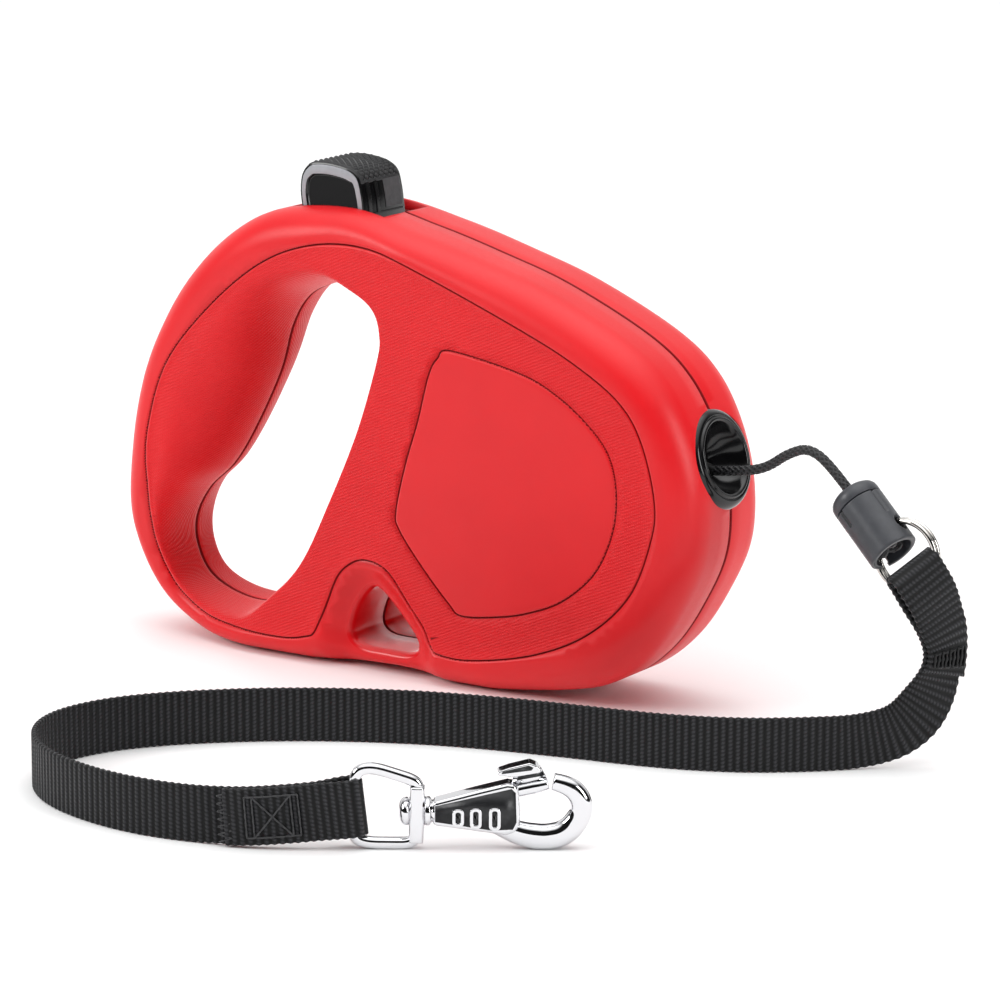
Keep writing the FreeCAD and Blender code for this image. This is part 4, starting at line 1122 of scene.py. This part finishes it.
# These flat bands round the key's face take the grey: painted reflection.
PAINTED_REFLECTION_BANDS = (3, 4, len(key_rings) - 5, len(key_rings) - 6)
key_slots = [1 if k // n in PAINTED_REFLECTION_BANDS else 0 for k in range(len(key_faces))]
key_faces += [list(range(n))[::-1], [(len(key_rings) - 1) * n + k for k in range(n)]]
key = piece("thumb_key_body", "brake_key", key_spots, key_faces,
            [black_gloss, painted_reflection_grey, window_black],
            slots=key_slots + [2, 2], stands_for=["thumb_key"])
work = bmesh.new()
work.from_mesh(key.data)
bmesh.ops.recalc_face_normals(work, faces=work.faces)
for face in work.faces:
    face.smooth = len(face.verts) == 4
work.to_mesh(key.data)
work.free()
modify(key, "EDGE_SPLIT", split_angle=math.radians(40))

# soft pad over the crown, with a diamond knurl
chosen = crown_line[:, 1] >= PAD_EDGE
pad_line = evenly(crown_line[chosen], 0.16)
pad_ahead = unit(np.gradient(pad_line, axis=0))
pad_out = np.stack([-pad_ahead[:, 1], pad_ahead[:, 0]], 1)
pad_run = run_along(pad_line)
KNURL, PAD_HALF = 1.5, KEY_HALF - 0.28
PAD_PLAIN, PAD_FADE, PAD_DROP, KNURL_RISE = 0.5, 0.8, 0.6, 0.8
across_pad = np.linspace(-PAD_HALF, PAD_HALF, 120)
one = pad_run[:, None] + across_pad[None, :]
two = pad_run[:, None] - across_pad[None, :]
knurl = np.minimum(*(np.abs(np.sin(math.pi * way / KNURL / 1.414)) for way in (one, two)))
border = np.minimum(PAD_HALF - np.abs(across_pad)[None, :],
                    np.minimum(pad_run, pad_run[-1] - pad_run)[:, None])
fade = smooth_step((border - PAD_PLAIN) / PAD_FADE)
drop = PAD_DROP * (1 - np.sqrt(np.clip(1 - (1.0 - np.clip(border, 0, 1.0)) ** 2, 0, 1)))
rise = KNURL_RISE * (knurl ** 0.7 - 0.75) * fade - drop
spots = np.stack([pad_line[:, None, 0] + pad_out[:, None, 0] * rise,
                  np.broadcast_to(across_pad[None, :], rise.shape),
                  pad_line[:, None, 1] + pad_out[:, None, 1] * rise], -1)
rows_count, columns = rise.shape
faces = [[i * columns + j, i * columns + j + 1, (i + 1) * columns + j + 1, (i + 1) * columns + j]
         for i in range(rows_count - 1) for j in range(columns - 1)]
piece("thumb_pad_knurled", "brake_key", spots.reshape(-1, 3), faces, [pad_rubber],
      stands_for=["thumb_pad"])


def key_front(name, side, low, high, lift, finish):
    """A raised strip on the key's front, between two levels and from one side to the other."""
    front = body_line[(body_line[:, 0] > -22) & (body_line[:, 1] > low) & (body_line[:, 1] < high)]
    out = crown_out[(body_line[:, 0] > -22) & (body_line[:, 1] > low) & (body_line[:, 1] < high)]
    corners = [(side[0], -0.3), (side[0], lift * 0.6), (side[0] + 0.25, lift),
               (side[1] - 0.25, lift), (side[1], lift * 0.6), (side[1], -0.3)]
    spots = [(x + nx * rise, y, z + nz * rise) for (x, z), (nx, nz) in zip(front, out)
             for y, rise in corners]
    faces = band_faces(len(front), len(corners))
    faces += [list(range(len(corners)))[::-1],
              [(len(front) - 1) * len(corners) + k for k in range(len(corners))]]
    return piece(name, "brake_key", spots, faces, [finish], smooth=False)


key_front("thumb_key_front_patch", (0.6, 7.6), 113.9, 120.9, 0.24, patch_grey)
key_front("thumb_key_front_rib_a", (-7.0, -5.2), 110.0, 120.9, 0.22, black_gloss)
key_front("thumb_key_front_rib_b", (-3.4, -1.9), 110.0, 120.9, 0.22, black_gloss)
key_front("thumb_key_front_foot", (-7.8, 7.8), 112.6, 113.4, 0.3, black_gloss)


# ---------------------------------------------------------------- trigger hook

HOOK_AT = np.array([68.8, -135.8, 0.0])
HOOK_TURN = math.radians(34)
HOOK_AHEAD = np.array([math.cos(HOOK_TURN), math.sin(HOOK_TURN), 0])
HOOK_SIDE = np.array([-math.sin(HOOK_TURN), math.cos(HOOK_TURN), 0])
HOOK_HALF, SWIVEL_LEVEL = 2.6, 8.4
BOLT_SLOPE = math.radians(12.1)


def in_hook(points):
    """Row-frame points from (ahead, side, up) in the hook's own frame."""
    points = np.asarray(points, float)
    return (HOOK_AT + points[:, :1] * HOOK_AHEAD + points[:, 1:2] * HOOK_SIDE
            + points[:, 2:] * np.array([0, 0, 1.0]))


def rod(route, half_wide, half_deep, sides=28, closed=False, step=0.35, power=2.0):
    """A bar of rounded section along an (ahead, up) route in the hook's upright plane."""
    line = spline_line("hook_line", [(s, 0, z) for s, z in route], closed)
    line = evenly(np.concatenate([line, line[:1]]) if closed else line, step)
    if closed:
        line = line[:-1]
    share = np.linspace(0, 1, len(line))
    wide = np.interp(share, np.linspace(0, 1, len(half_wide)), half_wide)
    deep = np.interp(share, np.linspace(0, 1, len(half_deep)), half_deep)
    ahead = np.roll(line, -1, 0) - np.roll(line, 1, 0)
    if not closed:
        ahead[0], ahead[-1] = line[1] - line[0], line[-1] - line[-2]
    ahead = unit(ahead)
    out = np.stack([-ahead[:, 2], 0 * ahead[:, 0], ahead[:, 0]], 1)
    angle = np.arange(sides) * 2 * math.pi / sides
    cos, sin = np.cos(angle), np.sin(angle)
    cos, sin = np.sign(cos) * np.abs(cos) ** (2 / power), np.sign(sin) * np.abs(sin) ** (2 / power)
    spots = (line[:, None, :] + (wide[:, None] * cos[None])[..., None] * out[:, None, :]
             + (deep[:, None] * sin[None])[..., None] * np.array([0, 1.0, 0]))
    faces = band_faces(len(line), sides, closed)
    if not closed:
        faces.append(list(range(sides))[::-1])
        faces.append([(len(line) - 1) * sides + k for k in range(sides)])
    return in_hook(spots.reshape(-1, 3)), faces


def turned(profile, sides=48, level=SWIVEL_LEVEL):
    """A turned part about the swivel's axis; profile is (ahead, radius)."""
    spots, faces = lathe(profile, sides, (0, 0, level), (1, 0, 0))
    return in_hook(spots), faces


def plate(outline_points, half, level=0.0):
    """A flat plate in the hook's upright plane, between two sides."""
    count = len(outline_points)
    spots = [(s, level + side * half, z) for side in (-1, 1) for s, z in outline_points]
    faces = [list(range(count)), [count + k for k in range(count)][::-1]]
    faces += [[k, count + k, count + (k + 1) % count, (k + 1) % count] for k in range(count)]
    return in_hook(spots), faces


def ring_plate(outer, inner, low, high):
    """A flat frame between two outlines, from one side level to another."""
    count = len(outer)
    spots = [(s, y, z) for y, loop in ((low, outer), (low, inner), (high, inner), (high, outer))
             for s, z in loop]
    return in_hook(spots), band_faces(4, count, closed=True)


def rounded_box(low, high, radius, per=6):
    """Outline of a box in (ahead, up) with rounded corners."""
    (a, b), (c, d) = low, high
    found = []
    for cx, cz, start in ((c - radius, d - radius, 0), (a + radius, d - radius, 90),
                          (a + radius, b + radius, 180), (c - radius, b + radius, 270)):
        for turn in np.radians(np.linspace(start, start + 90, per)):
            found.append((cx + radius * math.cos(turn), cz + radius * math.sin(turn)))
    return found


def hook_piece(name, body, part, finish, node=(), width=0.0):
    """A piece of the hook, with its sharp edges rounded by width millimetres."""
    made = piece(name, body, part[0], part[1], [finish], stands_for=node)
    if width:
        work = bmesh.new()
        work.from_mesh(made.data)
        bmesh.ops.recalc_face_normals(work, faces=work.faces)
        sharp = [edge for edge in work.edges if len(edge.link_faces) == 2
                 and edge.calc_face_angle() > math.radians(35)]
        bmesh.ops.bevel(work, geom=sharp, offset=width * MM, segments=3, affect="EDGES",
                        profile=0.5)
        for face in work.faces:
            face.smooth = True
        work.to_mesh(made.data)
        work.free()
        modify(made, "WEIGHTED_NORMAL", keep_sharp=True)
    return made


eye_route = [(0.7, 9.5), (0.7, 14.2), (1.7, 17.6), (4.9, 18.2), (10.0, 16.6), (14.4, 15.1),
             (14.9, 13.0), (14.7, 8.0), (14.5, 3.4), (13.6, 1.2), (8.5, 1.2), (3.4, 1.3),
             (0.9, 2.4), (0.7, 5.5)]
eye_bar = rod([(14.3, 1.6), (14.4, 5.0), (14.5, 9.0), (14.6, 14.0)], [1.6, 1.8, 1.8, 1.6],
              [1.9, 2.2, 2.2, 1.9],
              power=4.0)
eye = hook_piece("swivel_eye_casting", "casing",
                 joined(rod(eye_route, [1.3, 1.3], [1.35, 1.35], closed=True, power=2.6), eye_bar),
                 chrome, ["swivel_eye"])
rivet = hook_piece("swivel_rivet_head", "casing", turned(
    [(10.45, 0.05), (10.5, 1.1), (10.75, 2.0), (11.2, 2.75), (11.8, 3.1), (12.5, 3.1),
     (12.75, 2.7), (12.8, 1.5), (17.6, 1.45)]), chrome, ["swivel_rivet"])

BODY_OUTLINE = [(17.9, 11.0), (22.0, 12.1), (28.0, 13.7), (34.0, 15.2), (35.6, 15.0),
                (36.4, 14.0), (36.9, 9.0), (36.7, 5.6), (35.6, 4.1), (33.6, 3.5), (26.0, 4.6),
                (17.9, 5.7)]
RECESS = [(18.4, 10.2), (34.9, 14.1), (35.8, 13.2), (36.0, 6.6), (35.2, 5.0), (30.6, 4.8),
          (18.4, 6.7)]
WINDOWS = [((22.1, 5.6), (24.7, 9.6)), ((25.9, 5.2), (28.5, 9.8)), ((30.0, 4.8), (32.6, 9.9))]
hook_body = hook_piece("hook_body_casting", "hook", plate(BODY_OUTLINE, HOOK_HALF), chrome,
                       ["hook_body"], 0.9)
collar = hook_piece("hook_collar", "hook", turned(
    [(16.15, 1.6), (16.15, 2.9), (16.4, 3.2), (17.2, 3.2), (17.5, 2.9), (17.7, 2.5), (18.4, 2.5)]),
                    chrome)
jaw_route = [(31.5, 5.6), (34.5, 4.2), (38.0, 3.0), (42.3, 2.4), (46.6, 3.4), (49.4, 6.6),
             (50.3, 9.6), (49.2, 12.4), (46.8, 14.3), (43.9, 15.0)]
hook_jaw = hook_piece("hook_jaw_arm", "hook",
                      rod(jaw_route, [2.1, 2.5, 2.8, 2.8, 2.65, 2.45, 2.2, 1.85],
                          [2.0, 2.2, 2.3, 2.3, 2.2, 2.2, 2.1, 1.9], power=2.5), chrome)
recess_parts, frame_parts, dark_parts = [], [], []
for side in (-1, 1):
    recess_parts.append(plate(RECESS, 0.12, side * (HOOK_HALF - 0.02)))
    for low, high in WINDOWS:
        outer, inner = rounded_box(low, high, 1.0), rounded_box(
            (low[0] + 0.75, low[1] + 0.75), (high[0] - 0.75, high[1] - 0.75), 0.45)
        frame_parts.append(ring_plate(outer, inner, side * (HOOK_HALF - 0.3),
                                      side * (HOOK_HALF + 0.38)))
        dark_parts.append(plate(inner, 0.1, side * (HOOK_HALF + 0.08)))
hook_piece("hook_body_recess", "hook", joined(*recess_parts), dark_recess)
tab_marks = [plate(mark, 0.06, side * half) for side in (-1, 1) for mark, half in (
    ([(32.7, 17.25), (33.0, 17.85), (38.6, 19.2), (39.6, 18.7), (39.2, 18.1)], 2.0),
    ([(36.0, 15.5), (36.4, 16.75), (40.9, 17.7), (41.8, 16.6)], 0.85))]
hook_piece("hook_bolt_marks", "bolt", joined(*tab_marks), dark_recess)
hook_piece("hook_body_slots", "hook", joined(*frame_parts), chrome, width=0.16)
hook_piece("hook_body_slot_floors", "hook", joined(*dark_parts), black_gloss)

bolt_ahead = np.array([math.cos(BOLT_SLOPE), math.sin(BOLT_SLOPE)])
bolt_start = np.array([36.1, 13.1])
bolt_points = [tuple(bolt_start + bolt_ahead * step) for step in (-6.3, -3.0, 0.5, 3.5, 5.6, 6.9)]
bolt = joined(
    rod(bolt_points, [1.5, 1.6, 1.6, 1.6, 1.6, 1.25], [1.5, 1.6, 1.6, 1.6, 1.6, 1.25]),
    plate([(34.6, 14.0), (35.6, 16.9), (41.3, 18.0), (42.6, 15.6)], 0.85))
hook_bolt = hook_piece("hook_bolt_rod", "bolt", bolt, chrome, ["hook_bolt"])
hook_piece("hook_bolt_tab", "bolt", plate(
    [(31.9, 16.9), (31.9, 17.7), (34.4, 18.6), (38.8, 19.7), (40.3, 19.1), (41.2, 18.1),
     (41.1, 17.5), (35.5, 16.5)], 2.0), chrome, width=0.3)


# ---------------------------------------------------------------- springs

def coil(start, ahead, side, length, turns, radius, wire):
    """Vertices and faces of a helical spring from its start along its heading."""
    turn = np.linspace(0, 2 * math.pi * turns, int(32 * turns))
    climb = wire + (length - 2 * wire) * turn / turn[-1]
    line = (start + ahead * climb[:, None] + radius * (np.cos(turn)[:, None] * side
            + np.sin(turn)[:, None] * np.cross(ahead, side)))
    return tube(line, 10, lambda run, angle: wire + 0 * run, up=ahead)[:2]


PRESS_TRAVEL, BOLT_TRAVEL, BOLT_SPRING = 4.0, 6.5, 11.0
PRESS_X, BOLT_SPRING_BACK = -24.0, 17.5
low_corner, high_corner = (np.array(corner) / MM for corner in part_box("brake_spring"))
foot = np.array([PRESS_X, 0.0, low_corner[2]])
height = high_corner[2] - low_corner[2]
spots, faces = coil(foot, np.array([0, 0, 1.0]), np.array([1.0, 0, 0]), height, 5, 3.0, 0.35)
press_coil = piece("brake_spring_coil", "casing", spots, faces, [spring_steel],
                   stands_for=["brake_spring"])
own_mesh(press_coil)

bolt_heading = np.array([bolt_ahead[0], 0, bolt_ahead[1]])
bolt_foot = np.array([bolt_start[0], 0, bolt_start[1]]) - bolt_heading * BOLT_SPRING_BACK
spots, faces = coil(bolt_foot, bolt_heading, np.array([0, 1.0, 0]), BOLT_SPRING, 8, 1.15, 0.2)
bolt_coil = hook_piece("bolt_spring_coil", "hook", (in_hook(spots), faces), spring_steel,
                       ["bolt_spring"])
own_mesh(bolt_coil)


# ---------------------------------------------------------------- carried-over CAD nodes

FINISHES = {
    "casing_plastic": satin, "gloss_black": black_gloss, "soft_pad": pad_rubber,
    "reel_plastic": reel_plastic, "white_plastic": white_plastic, "sleeve_plastic": sleeve_plastic,
    "braided_cord": braid, "webbing": webbing, "hook_chrome": chrome, "bright_wire": bright_wire,
    "spring_steel": spring_steel, "fastener_steel": fastener_steel,
}
for part in frame["record"]["subparts"]:
    node = frame["nodes"][part["node"]]
    node.data.materials.clear()
    node.data.materials.append(FINISHES[part["material_slot"]])


# ---------------------------------------------------------------- floor and light

paper = material("floor_paper", (0.94, 0.94, 0.94), 0.85, Specular_IOR_Level=0.1)
tint(paper, noise(paper, 3, 2), (0.93, 0.93, 0.93), (0.95, 0.95, 0.95))
FLOOR_HALF = 6  # metres
floor_mesh = bpy.data.meshes.new("floor")
floor_mesh.from_pydata([(x * FLOOR_HALF, y * FLOOR_HALF, 0)
                        for x, y in ((-1, -1), (1, -1), (1, 1), (-1, 1))], [], [[0, 1, 2, 3]])
floor_mesh.materials.append(paper)
floor = bpy.data.objects.new("floor", floor_mesh)
scene.collection.objects.link(floor)

world = bpy.data.worlds.new("studio")
scene.world = world
world.use_nodes = True
sky = world.node_tree.nodes["Background"]
sky.inputs["Color"].default_value = (1, 1, 1, 1)
# The sky is brightest straight up, with a second glow round one heading.
SKY_BAND, SKY_STRENGTH = (0.6, 1.0), (0.012, 2.5)
GLOW_HEADING, GLOW_BAND, GLOW_STRENGTH = (-0.56, 0.83, 0), (0.3, 0.75), (0.0, 0.95)
toward = add(world, "ShaderNodeTexCoord").outputs["Generated"]
level = add(world, "ShaderNodeSeparateXYZ", {0: toward}).outputs[2]
overhead = add(world, "ShaderNodeMapRange", dict(enumerate((level, *SKY_BAND, *SKY_STRENGTH))))
facing = add(world, "ShaderNodeVectorMath", {0: toward, 1: GLOW_HEADING}, operation="DOT_PRODUCT")
behind = add(world, "ShaderNodeMapRange",
             dict(enumerate((facing.outputs["Value"], *GLOW_BAND, *GLOW_STRENGTH))))
brighter = maths(world, "MAXIMUM", overhead.outputs[0], behind.outputs[0])
world.node_tree.links.new(brighter, sky.inputs["Strength"])
scene.view_settings.view_transform = "Standard"


def soft_light(name, spot, target, power, width, height):
    """A rectangular soft light that faces a point."""
    data = bpy.data.lights.new(name, "AREA")
    data.shape, data.size, data.size_y, data.energy = "RECTANGLE", width, height, power
    light = bpy.data.objects.new(name, data)
    light.location = spot
    light.rotation_euler = (Vector(spot) - Vector(target)).to_track_quat("Z", "Y").to_euler()
    scene.collection.objects.link(light)


AIM = (0, 0, 0.05)  # metres
soft_light("key_light", (-1.0, -1.15, 0.85), AIM, 14, 0.8, 0.6)
soft_light("side_light", (1.5, -0.1, 0.55), AIM, 9, 0.4, 0.8)
soft_light("top_light", (-0.1, 0.25, 1.5), AIM, 2, 1.0, 1.0)
